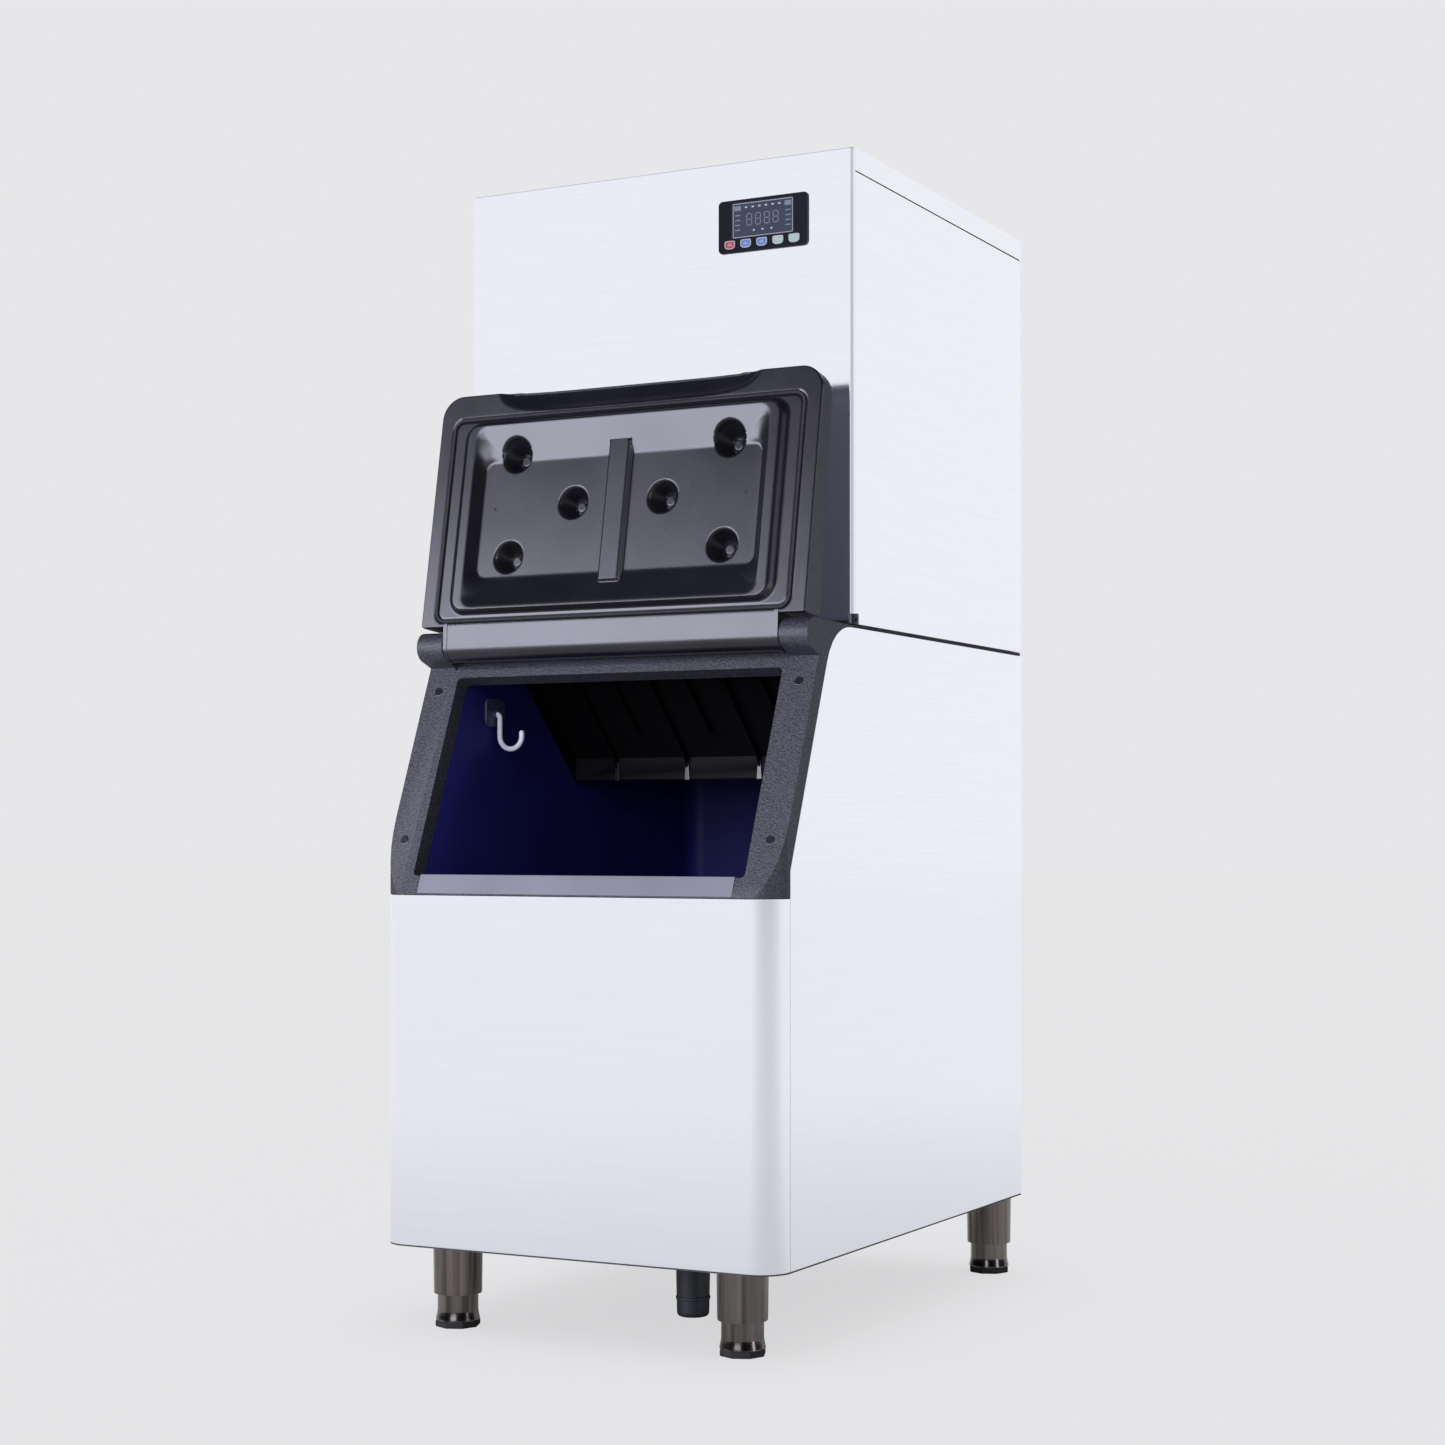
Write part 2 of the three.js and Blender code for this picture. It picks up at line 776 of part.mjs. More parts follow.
function makeLinerAndFoam() {
  const half = halfWidth - wallThickness;
  const innerFront = liner.frontWall + liner.wall;
  const mouthTopDepth = slopeDepth(mouthTop) + frame.depth;
  const mouthFoot = doorSillHeight + (innerFront - frame.depth) / slopeTan - cutOverrun;
  const innerProfile = [
    [innerFront, wallThickness + liner.wall],
    [binDepth - wallThickness - liner.wall, wallThickness + liner.wall],
    [binDepth - wallThickness - liner.wall, binHeight + cutOverrun],
    [throatRear + liner.wall, binHeight + cutOverrun],
    [throatRear + liner.wall, binHeight - frame.deckThickness - liner.roofWall],
    [mouthTopDepth - cutOverrun, mouthTop - liner.roofWall],
    [-cutOverrun, mouthFoot],
    [innerFront, mouthFoot],
  ];
  const inner = prismX(innerProfile, -half + liner.wall, half - liner.wall).intersect(
    linerPlan(-liner.wall),
  );
  const skin = liner.wall / 2;
  const rimOuter = halfWidth - sheetThickness - liner.rimInset;
  const rimFront = headFront + fitGap;
  const rimRear = binDepth - foamInset - liner.rimInset;
  const rimTop = binHeight - sheetGap;
  const rimRing = prismZ(
    [[-rimOuter, rimFront], [rimOuter, rimFront], [rimOuter, rimRear], [-rimOuter, rimRear]],
    rimTop - liner.rimThickness, rimTop,
    [roundedRect(-half + skin, half - skin, throatRear + skin, binDepth - wallThickness - skin, 0)],
  );
  const shell = cut(linerBlock(0), inner);
  const topTrim = box(-halfWidth, halfWidth, 0, binDepth, rimTop, binHeight + cutOverrun);
  const hole = drainHole(wallThickness + liner.wall + cutOverrun);
  piece("bin_liner", cut(join(shell, rimRing), topTrim, hole), blueLiner());

  const foamTop = binHeight - frame.deckThickness - fitGap;
  const foamRear = backInner - fitGap - sheetGap;
  const profile = [
    [0, foamInset],
    [foamRear, foamInset],
    [foamRear, foamTop],
    [slopeDepth(foamTop) + frame.depth + frame.shoulderRadius, foamTop],
    ...shoulderEdge(-foamInset - lipWidth).reverse().slice(1),
    [frontCornerRadius + foamInset + lipWidth, doorSillHeight - fitGap],
    [0, doorSillHeight - fitGap],
  ];
  const block = prismX(profile, -halfWidth, halfWidth).intersect(
    prismZ(binPlan(foamInset + sheetThickness, foamRear), foamInset, foamTop),
  );
  const mouth = openingPrism(0, 0, frame.openingReach);
  const trays = [sideTray(-1, fitGap), sideTray(1, fitGap)];
  piece(
    "bin_foam_insulation",
    cut(block, linerBlock(fitGap), mouth, drainHole(wallThickness), ...trays),
    foam(),
  );
}

makeLinerAndFoam();

// Black moulded door frame with the hinge ears and the deck in front of the head
function makeDoorFrame() {
  const base = doorSillHeight;
  const deckTop = binHeight + frame.deckStep;
  const deckEnd = headFront - fitGap;
  const foot = slopePoint(0, -frame.earFootDrop);
  const toFoot = Math.atan2(foot[1] - axisHeight, foot[0] - axisDepth);
  const reach = Math.hypot(foot[0] - axisDepth, foot[1] - axisHeight);
  const tangent = THREE.MathUtils.radToDeg(toFoot - Math.acos(frame.earRadius / reach));
  const sideProfile = [
    [0, base],
    foot,
    ...arc(axisDepth, axisHeight, frame.earRadius, tangent, -270, earSteps),
    [deckEnd, deckTop],
    [deckEnd, binHeight + fitGap],
    ...shoulderEdge(fitGap).reverse(),
    [frontCornerRadius - fitGap, base],
  ];
  const channelRadius = frame.axisStandoff + frame.headerStep;
  const back = slopePoint(frame.depth * slopeCos, 0);
  const deckLow = binHeight - frame.deckThickness;
  const middleProfile = [
    [0, base],
    slopePoint(0, -frame.headerTop),
    slopePoint(frame.headerStep, -frame.headerTop),
    ...arc(axisDepth, axisHeight, channelRadius, -frontSlopeDegrees, -lidLeanDegrees, channelSteps),
    leanPoint(channelRadius, deckTop),
    [deckEnd, deckTop],
    [deckEnd, deckLow],
    [slopeDepth(deckLow) + frame.depth, deckLow],
    back,
    [frame.depth, base],
  ];
  const plan = prismZ(binPlan(0), base, headTop);
  const sides = [-1, 1].map((side) => {
    return prismX(sideProfile, ...sideSpan(side, earInner, halfWidth));
  });
  const middle = prismX(middleProfile, -earInner - fitGap, earInner + fitGap);
  const pinHoles = [-1, 1].map((side) => {
    const span = sideSpan(side, earInner - cutOverrun, earInner + pin.length - pin.inLid);
    return rodX(pin.radius + pin.clearance, ...span, axisDepth, axisHeight, boreSides);
  });
  const body = join(...sides, middle).intersect(plan);
  piece(
    "door_frame",
    cut(body, openingPrism(0, -cutOverrun, frame.openingReach), ...pinHoles),
    blackFrame(),
  );
  for (const [side, name] of [[-1, "hinge_pin_left"], [1, "hinge_pin_right"]]) {
    const span = sideSpan(side, earInner - pin.inLid, earInner + pin.length - pin.inLid - pin.clearance);
    piece(name, rodX(pin.radius, ...span, axisDepth, axisHeight, boreSides), darkSteel());
  }
}

// A point as depth and height, from a distance behind the slanted face and a distance up it
function slopePoint(behind, up) {
  return [
    axisDepth + (frame.axisStandoff + behind) * slopeCos + up * slopeSin,
    axisHeight - (frame.axisStandoff + behind) * slopeSin + up * slopeCos,
  ];
}

// Where the plane behind the leaning lid, at a standoff from the hinge axis, meets a height
function leanPoint(standoff, height) {
  const angle = THREE.MathUtils.degToRad(lidLeanDegrees);
  const depth = axisDepth + standoff / Math.cos(angle) + (height - axisHeight) * Math.tan(angle);
  return [depth, height];
}
makeDoorFrame();

// Ice deflector under the drop opening, with stiffening ribs below
function makeDeflector() {
  const slope = THREE.MathUtils.degToRad(deflector.slopeDegrees);
  const fall = Math.tan(slope);
  const half = halfWidth - wallThickness - liner.wall - fitGap;
  const thick = deflector.thickness / Math.cos(slope);
  const topAt = (depth) => chuteTop - (depth - dropFront) * fall;
  const rear = chuteRear;
  const front = throatRear + liner.wall + fitGap;
  const endLow = topAt(rear) - thick - deflector.lipHeight;
  const hangLow = chuteTop - deflector.lipHeight / 2;
  const frontLow = chuteTop - thick - deflector.lipHeight;
  const outline = [
    [front, chuteTop],
    [front, hangLow],
    [front + deflector.thickness, hangLow],
    [front + deflector.thickness, chuteTop - deflector.thickness],
    [dropFront, chuteTop - deflector.thickness],
    [dropFront, frontLow],
    [rear, endLow],
    [rear, topAt(rear)],
    [dropFront, chuteTop],
  ];
  const hollow = [
    [dropFront - deflector.thickness, frontLow - cutOverrun],
    [dropFront - deflector.thickness, chuteTop - thick],
    [dropFront, chuteTop - thick],
    [rear - deflector.thickness, topAt(rear - deflector.thickness) - thick],
    [rear - deflector.thickness, endLow - cutOverrun],
  ];
  const tray = cut(
    prismX(outline, -half, half),
    prismX(hollow, -half + deflector.thickness, half - deflector.thickness),
  );
  const start = dropFront + deflector.lipHeight / 2;
  const inLip = rear - deflector.thickness / 2;
  const longRib = [
    [start, topAt(start) - thick / 2],
    [start, topAt(start) - thick - deflector.ribDrop],
    [rear - deflector.gussetReach, topAt(rear - deflector.gussetReach) - thick - deflector.ribDrop],
    [inLip, topAt(inLip) - thick - deflector.gussetDrop],
    [inLip, topAt(inLip) - thick / 2],
  ];
  const shortEnd = rear - deflector.shortRibEnd;
  const shortRib = [
    [start, topAt(start) - thick / 2],
    [start, topAt(start) - thick - deflector.ribDrop],
    [shortEnd, topAt(shortEnd) - thick - deflector.ribDrop],
    [shortEnd, topAt(shortEnd) - thick / 2],
  ];
  const ribs = (profile, places) =>
    places.map((place) => {
      const x = place * deflector.ribPitch;
      return prismX(profile, x - deflector.ribThickness / 2, x + deflector.ribThickness / 2);
    });
  piece(
    "ice_deflector",
    join(tray, ...ribs(longRib, deflector.longRibPlaces), ...ribs(shortRib, deflector.shortRibPlaces)),
    blackAbs(),
  );
}
makeDeflector();

// Scoop hook on the left wall of the liner
function makeScoopHook() {
  const wall = -halfWidth + wallThickness + liner.wall;
  const y0 = hookDepth - hook.plateLength / 2;
  const y1 = hookDepth + hook.plateLength / 2;
  const plateOutline = roundedRect(
    y0, y1, hookTop - hook.plateHeight, hookTop, hook.plateCorner, hook.plateCorner, plateSteps,
  );
  const face = wall + fitGap + hook.plateThickness;
  piece("scoop_hook_plate", prismX(plateOutline, wall + fitGap, face), blackAbs());

  const path = new THREE.CurvePath();
  const at = (x, z) => new THREE.Vector3(x, hookDepth, z);
  const downX = face + hook.reach + hook.bendRadius;
  const bendEnd = hookRoot - hook.bendRadius;
  const turnTop = hookRoot - hook.drop;
  const centreX = downX + hook.turnRadius;
  const quarter = (from, corner, to) => new THREE.QuadraticBezierCurve3(from, corner, to);
  path.add(new THREE.LineCurve3(at(face + fitGap, hookRoot), at(face + hook.reach, hookRoot)));
  path.add(quarter(at(face + hook.reach, hookRoot), at(downX, hookRoot), at(downX, bendEnd)));
  path.add(new THREE.LineCurve3(at(downX, bendEnd), at(downX, turnTop)));
  path.add(new HalfTurn(at(centreX, turnTop), hook.turnRadius));
  const tipX = centreX + hook.turnRadius;
  path.add(new THREE.LineCurve3(at(tipX, turnTop), at(tipX, turnTop + hook.tipRise)));
  piece("scoop_hook", tube(path, hook.rodRadius, pipeSides, hook.steps), finish("#e9e9f2", 0.3, 0.2));
}

// A half circle below its centre, in the plane of width and height
class HalfTurn extends THREE.Curve {
  constructor(centre, radius) {
    super();
    this.centre = centre;
    this.radius = radius;
  }
  getPoint(t, target = new THREE.Vector3()) {
    const angle = Math.PI * (1 + t);
    const [across, up] = [this.radius * Math.cos(angle), this.radius * Math.sin(angle)];
    return target.set(this.centre.x + across, this.centre.y, this.centre.z + up);
  }
}
makeScoopHook();

// Drain spout under the bin, hollow down its middle
function makeDrain() {
  const top = -fitGap;
  const low = -drain.length;
  const inside = wallThickness + liner.wall - fitGap;
  const profile = [
    [drain.boreRadius, low],
    [drain.bottomRadius - drain.edgeRadius, low],
    [drain.bottomRadius, low + drain.edgeRadius],
    [drain.topRadius, top],
    [drain.neckRadius, top],
    [drain.neckRadius, inside],
    [drain.boreRadius, inside],
    [drain.boreRadius, low],
  ];
  piece("drain_spout", moved(turned(profile, barrelSides), drain.centreX, drain.depth, 0), blackAbs());
}
makeDrain();

// Legs: a steel sleeve fixed under the bin, and a levelling foot with a rubber pad that screws in and out
const legPlaces = [
  ["front_left", -halfWidth + leg.frontInsetX, leg.frontInsetY],
  ["front_right", halfWidth - leg.frontInsetX, leg.frontInsetY],
  ["rear_left", -halfWidth + leg.rearInsetX, binDepth - leg.rearInsetY],
  ["rear_right", halfWidth - leg.rearInsetX, binDepth - leg.rearInsetY],
];

function makeLegs() {
  const sleeveLow = -leg.sleeveLength;
  const boreTop = sleeveLow + leg.footInSleeve + leg.travelUp + leg.collarHeight;
  const sleeve = turned(
    [
      [0, sheetGap - fitGap],
      [leg.studRadius, sheetGap - fitGap],
      [leg.studRadius, -fitGap],
      [leg.topRadius, -fitGap],
      [leg.topRadius, -leg.collarHeight],
      [leg.bottomRadius, sleeveLow],
      [leg.boreRadius, sleeveLow],
      [leg.boreRadius, boreTop],
      [0, boreTop],
    ],
    leg.roundSides,
  );
  const padTop = -legHeight + leg.padHeight;
  const flareTop = padTop + leg.flareHeight;
  const foot = join(
    turned(
      [
        [0, flareTop - leg.collarHeight],
        [leg.footRadius, flareTop - leg.collarHeight],
        [leg.footRadius, sleeveLow + leg.footInSleeve],
        [0, sleeveLow + leg.footInSleeve],
      ],
      leg.roundSides,
    ),
    turned(
      [
        [0, padTop + fitGap],
        [leg.flareRadius, padTop + fitGap],
        [leg.flareRadius, padTop + leg.flareRim],
        [leg.footRadius + fitGap, flareTop],
        [0, flareTop],
      ],
      leg.nutSides,
    ),
  );
  const pad = turned(
    [[0, -legHeight], [leg.padRadius, -legHeight], [leg.padRadius, padTop], [0, padTop]],
    leg.nutSides,
  );
  for (const [place, x, y] of legPlaces) {
    piece("leg_sleeve_" + place, moved(sleeve, x, y, 0), darkSteel());
    piece("levelling_foot_" + place, moved(foot, x, y, 0), darkSteel());
    piece("foot_pad_" + place, moved(pad, x, y, 0), rubber());
  }
}
makeLegs();

// Lid, built in the frame of the hinge axis and then leaned back
const lidGroup = new THREE.Group();
lidGroup.position.set(0, axisDepth, axisHeight);
lidGroup.rotation.x = -THREE.MathUtils.degToRad(lidLeanDegrees);
cabinet.add(lidGroup);

function lidOutline(inset) {
  const half = lidWidth / 2 - inset;
  return roundedRect(
    -half, half, lid.bottomEdge + inset, lidTop - inset,
    Math.max(lid.footRadius - inset, lid.leastRadius), lid.cornerRadius - inset, lidSteps,
  );
}

// Profile of the lid's crowned back, as depth and height, drawn in by an inset
function backProfile(front, inset) {
  const backTop = lidTop - lid.crownDrop;
  const [outAt, upAt] = [lid.crownInset * lid.crownShare, lid.crownDrop * lid.crownShare];
  const rise = lid.backFootRise / (lid.backAtHinge - flangeFace);
  const footAt = (depth) => lid.bottomEdge + (depth - flangeFace) * rise + inset * Math.hypot(1, rise);
  return [
    [front, footAt(front)],
    [lid.backAtHinge - inset, footAt(lid.backAtHinge - inset)],
    [lid.backAtHandle - inset, backTop],
    [lid.backAtHandle - outAt - inset, lidTop - upAt - inset],
    [lid.backAtHandle - lid.crownInset - inset, lidTop - inset],
    [front, lidTop - inset],
  ];
}

// The concave finger grip: a cylinder whose rim meets the face and the top edge, rounded off at its ends
function gripCutter() {
  const a = grip.height + grip.axisLift;
  const b = grip.axisLift;
  const depth = grip.depth;
  const centre = (a * a - b * b - depth * depth) / (2 * depth);
  const radius = Math.hypot(a, centre);
  const half = (lidWidth - 2 * grip.endInset) / 2;
  const profile = [];
  for (let i = 0; i <= grip.steps; i++) {
    const t = -1 + (2 * i) / grip.steps;
    const shrink = 1 - Math.sqrt(Math.max(1 - t ** grip.endPower, 0));
    profile.push([radius - depth * grip.endShare * shrink, t * half]);
  }
  profile.unshift([0, -half]);
  profile.push([0, half]);
  const body = turned(profile, dishSides).rotate([0, 90, 0]);
  return moved(body, 0, flangeFace - centre, lidTop + grip.axisLift);
}

function makeLid() {
  const half = lidWidth / 2;
  const backStart = flangeFace + lid.flangeThickness + fitGap;
  const flange = prismY(lidOutline(0), flangeFace, flangeFace + lid.flangeThickness);
  const fillInset = lid.coverWall + fitGap;
  const fill = prismX(backProfile(flangeFace + lid.flangeThickness / 2, fillInset), -half, half).intersect(
    prismY(lidOutline(fillInset), flangeFace, lid.backAtHinge),
  );
  const barrelWeb = [
    [flangeFace, 0],
    [-flangeFace, 0],
    [-flangeFace, lid.bottomEdge + lid.backFootRise],
    [backStart, lid.bottomEdge + lid.backFootRise],
    [flangeFace + lid.flangeThickness, lid.bottomEdge + lid.flangeThickness],
    [flangeFace, lid.bottomEdge + lid.flangeThickness],
  ];
  const barrel = join(
    prismX(barrelWeb, -barrelHalf, barrelHalf),
    rodX(lid.barrelRadius, -barrelHalf, barrelHalf, 0, 0, barrelSides),
    ...[-1, 1].map((side) => {
      const span = sideSpan(side, barrelHalf - lid.collarWidth, barrelHalf);
      return rodX(lid.barrelRadius + lid.collarStep, ...span, 0, 0, barrelSides);
    }),
  );
  const rimRing = (drawn, corner, y) => {
    const reach = rimWidth / 2 - drawn;
    return faceRing(-reach, reach, rimLow + drawn / 2, rimHigh - drawn / 2, corner, y);
  };
  const crest = flangeFace - rim.height;
  const raised = loft([
    rimRing(0, rim.corner + rim.wallRun, flangeFace + lid.flangeThickness / 2),
    rimRing(0, rim.corner + rim.wallRun, flangeFace),
    rimRing(rim.wallRun, rim.corner, crest),
  ]);
  const panFloor = flangeFace + pan.depth;
  const mouth = (y) =>
    faceRing(-mouthWidth / 2, mouthWidth / 2, rimLow + rim.wallRun, rimHigh - rim.wallRun, rim.corner, y);
  const recess = loft([
    mouth(crest - fitGap),
    mouth(crest),
    faceRing(-panWidth / 2, panWidth / 2, panLow, panHigh, pan.corner, panFloor),
  ]);
  const cone = cut(
    turned(
      [
        [0, -kissOff.depth],
        [kissOff.footRadius, -kissOff.depth],
        [kissOff.rimRadius, 0],
        [kissOff.rimRadius, rim.height + pan.depth + cutOverrun],
        [0, rim.height + pan.depth + cutOverrun],
      ],
      coneSides,
    ),
    rod(kissOff.bossRadius, -kissOff.depth - cutOverrun, -kissOff.depth + kissOff.bossHeight, postSides),
  ).rotate([90, 0, 0]);
  const cones = [];
  const [outer, inner] = [kissOff.outerShare, kissOff.innerShare].map((share) => (share * panWidth) / 2);
  const [lowRow, midRow, highRow] = kissOff.rowShares.map((share) => share * lidTop);
  for (const side of [-1, 1]) {
    cones.push(moved(cone, side * outer, panFloor, lowRow));
    cones.push(moved(cone, side * inner, panFloor, midRow));
    cones.push(moved(cone, side * outer, panFloor, highRow));
  }
  const centreRib = box(
    -spine.width / 2, spine.width / 2, panFloor - spine.rise, panFloor + pan.depth,
    lidTop * spine.bottomShare, lidTop * spine.topShare,
  );
  const groove = sealRing(seal.width + fitGap * 2, flangeFace - cutOverrun, flangeFace + seal.grooveDepth);
  const pinHoles = [-1, 1].map((side) => {
    const span = sideSpan(side, earInner - pin.inLid - pin.clearance, earInner);
    return rodX(pin.radius + pin.clearance, ...span, 0, 0, boreSides);
  });
  const dished = join(cut(join(flange, fill, barrel, raised), recess), centreRib);
  piece("lid_inner_panel", cut(dished, ...cones, groove, gripCutter(), ...pinHoles), blackAbs(), lidGroup);

  const shellOuter = prismX(backProfile(backStart, 0), -half, half).intersect(
    prismY(lidOutline(0), backStart, lid.backAtHinge + cutOverrun),
  );
  const shellInner = prismX(backProfile(backStart - cutOverrun, lid.coverWall), -half, half).intersect(
    prismY(lidOutline(lid.coverWall), backStart - cutOverrun, lid.backAtHinge),
  );
  const barrelRoom = prismX(
    [
      [-lid.barrelRadius - cutOverrun, -lid.barrelRadius],
      [-flangeFace + fitGap, -lid.barrelRadius],
      [-flangeFace + fitGap, lid.bottomEdge + lid.backFootRise + fitGap],
      [-lid.barrelRadius - cutOverrun, lid.bottomEdge + lid.backFootRise + fitGap],
    ],
    -barrelHalf - fitGap, barrelHalf + fitGap,
  );
  piece("lid_outer_cover", cut(shellOuter, shellInner, barrelRoom, gripCutter()), blackAbs(), lidGroup);
  piece(
    "lid_gasket",
    sealRing(seal.width, flangeFace - seal.proud, flangeFace + seal.grooveDepth - fitGap),
    rubber(),
    lidGroup,
  );
}

// A rounded rectangular ring that follows the lid's edge
function sealRing(width, y0, y1) {
  const middle = lidWidth / 2 - seal.inset;
  const [low, high] = [lid.bottomEdge + seal.bottomInset, lidTop - seal.topInset];
  const ring = (grow) =>
    roundedRect(-middle - grow, middle + grow, low - grow, high + grow, seal.corner + grow);
  return prismY(ring(width / 2), y0, y1, [ring(-width / 2)]);
}
makeLid();

// Seam gasket between the bin and the head
function makeSeamGasket() {
  const outer = halfWidth - sheetThickness;
  const inner = outer - lipWidth;
  const outline = (reach, front, rear) => [[-reach, front], [reach, front], [reach, rear], [-reach, rear]];
  const front = headFront + sheetThickness;
  piece(
    "seam_gasket",
    prismZ(outline(outer, front, binDepth - sheetThickness), binHeight + fitGap, headFloor - fitGap, [
      outline(inner, front + lipWidth, binDepth - sheetThickness - lipWidth),
    ]),
    rubber(),
  );
}
makeSeamGasket();

// Sheet metal of the head
function makeHeadCasing() {
  const panelTop = headTop - sheetThickness - fitGap;
  const reach = halfWidth;
  const bend = head.bendRadius;
  const frontPlan = (inset) => [
    ...arc(-reach + bend, headFront + bend, bend - inset, 180, 270, sheetSteps),
    ...arc(reach - bend, headFront + bend, bend - inset, 270, 360, sheetSteps),
  ];
  const seamDepth = headFront + bend + fitGap;
  const outerPlan = [...frontPlan(0), [reach, seamDepth], [-reach, seamDepth]];
  const innerPlan = [
    ...frontPlan(sheetThickness),
    [reach - sheetThickness, headFront + bend * 2],
    [-reach + sheetThickness, headFront + bend * 2],
  ];
  const window = box(
    bezelX - bezel.width / 2 + bezel.lap, bezelX + bezel.width / 2 - bezel.lap,
    headFront - cutOverrun, headFront + lipWidth,
    bezelZ - bezel.height / 2 + bezel.lap, bezelZ + bezel.height / 2 - bezel.lap,
  );
  const lockCorner = (side, grow) =>
    box(
      ...sideSpan(side, reach - head.lockThickness - grow, reach + cutOverrun), headFront - cutOverrun,
      headFront + head.lockLength + grow, 0, headFloor + fitGap + head.lockHeight + grow,
    );
  const front = cut(
    prismZ(outerPlan, headFloor + fitGap, panelTop),
    prismZ(innerPlan, 0, headTop + cutOverrun),
    window, lockCorner(-1, fitGap), lockCorner(1, fitGap),
  );
  const frontLip = box(
    -reach + lipWidth, reach - lipWidth, headFront + sheetThickness / 2, headFront + lipWidth,
    headFloor + fitGap, headFloor + fitGap + sheetThickness,
  );
  piece("head_front_panel", join(front, frontLip), steel());

  const coverPlan = [...frontPlan(0), [reach, binDepth], [-reach, binDepth]];
  const sideFront = seamDepth + fitGap;
  const flangeLow = headTop - head.coverFlange;
  for (const [side, name] of [[-1, "head_side_panel_left"], [1, "head_side_panel_right"]]) {
    const span = (from, to) => sideSpan(side, from, to);
    const [a, b] = span(reach - sheetThickness, reach);
    const [c, d] = span(reach - lipWidth, reach - sheetThickness / 2);
    const [e, f] = span(reach - 2 * sheetThickness - fitGap, reach - sheetThickness - fitGap);
    const [g, h] = span(reach - 2 * sheetThickness - fitGap, reach - sheetThickness / 2);
    const low = headFloor + fitGap;
    const seam = flangeLow - head.coverSeam;
    const [tuckFront, tuckRear] = [sideFront + lipWidth, binDepth - lipWidth];
    const tuckLow = seam - head.tuckHeight;
    const body = join(
      box(a, b, sideFront, binDepth, low, seam),
      box(c, d, binDepth - sheetThickness, binDepth, low, seam),
      box(c, d, headFront + head.lockLength + lipWidth, binDepth, low, low + sheetThickness),
      box(e, f, tuckFront, tuckRear, tuckLow, seam + head.tuckHeight),
      box(g, h, tuckFront, tuckRear, tuckLow, tuckLow + sheetThickness),
    );
    piece(name, cut(body, lockCorner(side, fitGap)), steel());

    const screw = rodX(
      head.lockScrewRadius, ...span(reach - head.lockScrewDepth, reach + cutOverrun),
      headFront + head.lockLength / 2, low + head.lockHeight / 2, postSides,
    );
    const lock = cut(prismZ(coverPlan, low, low + head.lockHeight).intersect(lockCorner(side, 0)), screw);
    piece(side < 0 ? "head_lock_left" : "head_lock_right", lock, blackAbs());
  }

  const skin = reach - sheetThickness;
  const over = reach + cutOverrun;
  const coverHollow = [
    [-over, headFront - cutOverrun],
    [over, headFront - cutOverrun],
    [over, sideFront],
    [skin, sideFront],
    [skin, binDepth - sheetThickness],
    [-skin, binDepth - sheetThickness],
    [-skin, sideFront],
    [-over, sideFront],
  ];
  piece(
    "head_top_cover",
    cut(
      prismZ(coverPlan, flangeLow, headTop),
      prismZ(coverHollow, flangeLow - cutOverrun, headTop - sheetThickness),
    ),
    steel(),
  );
}
makeHeadCasing();

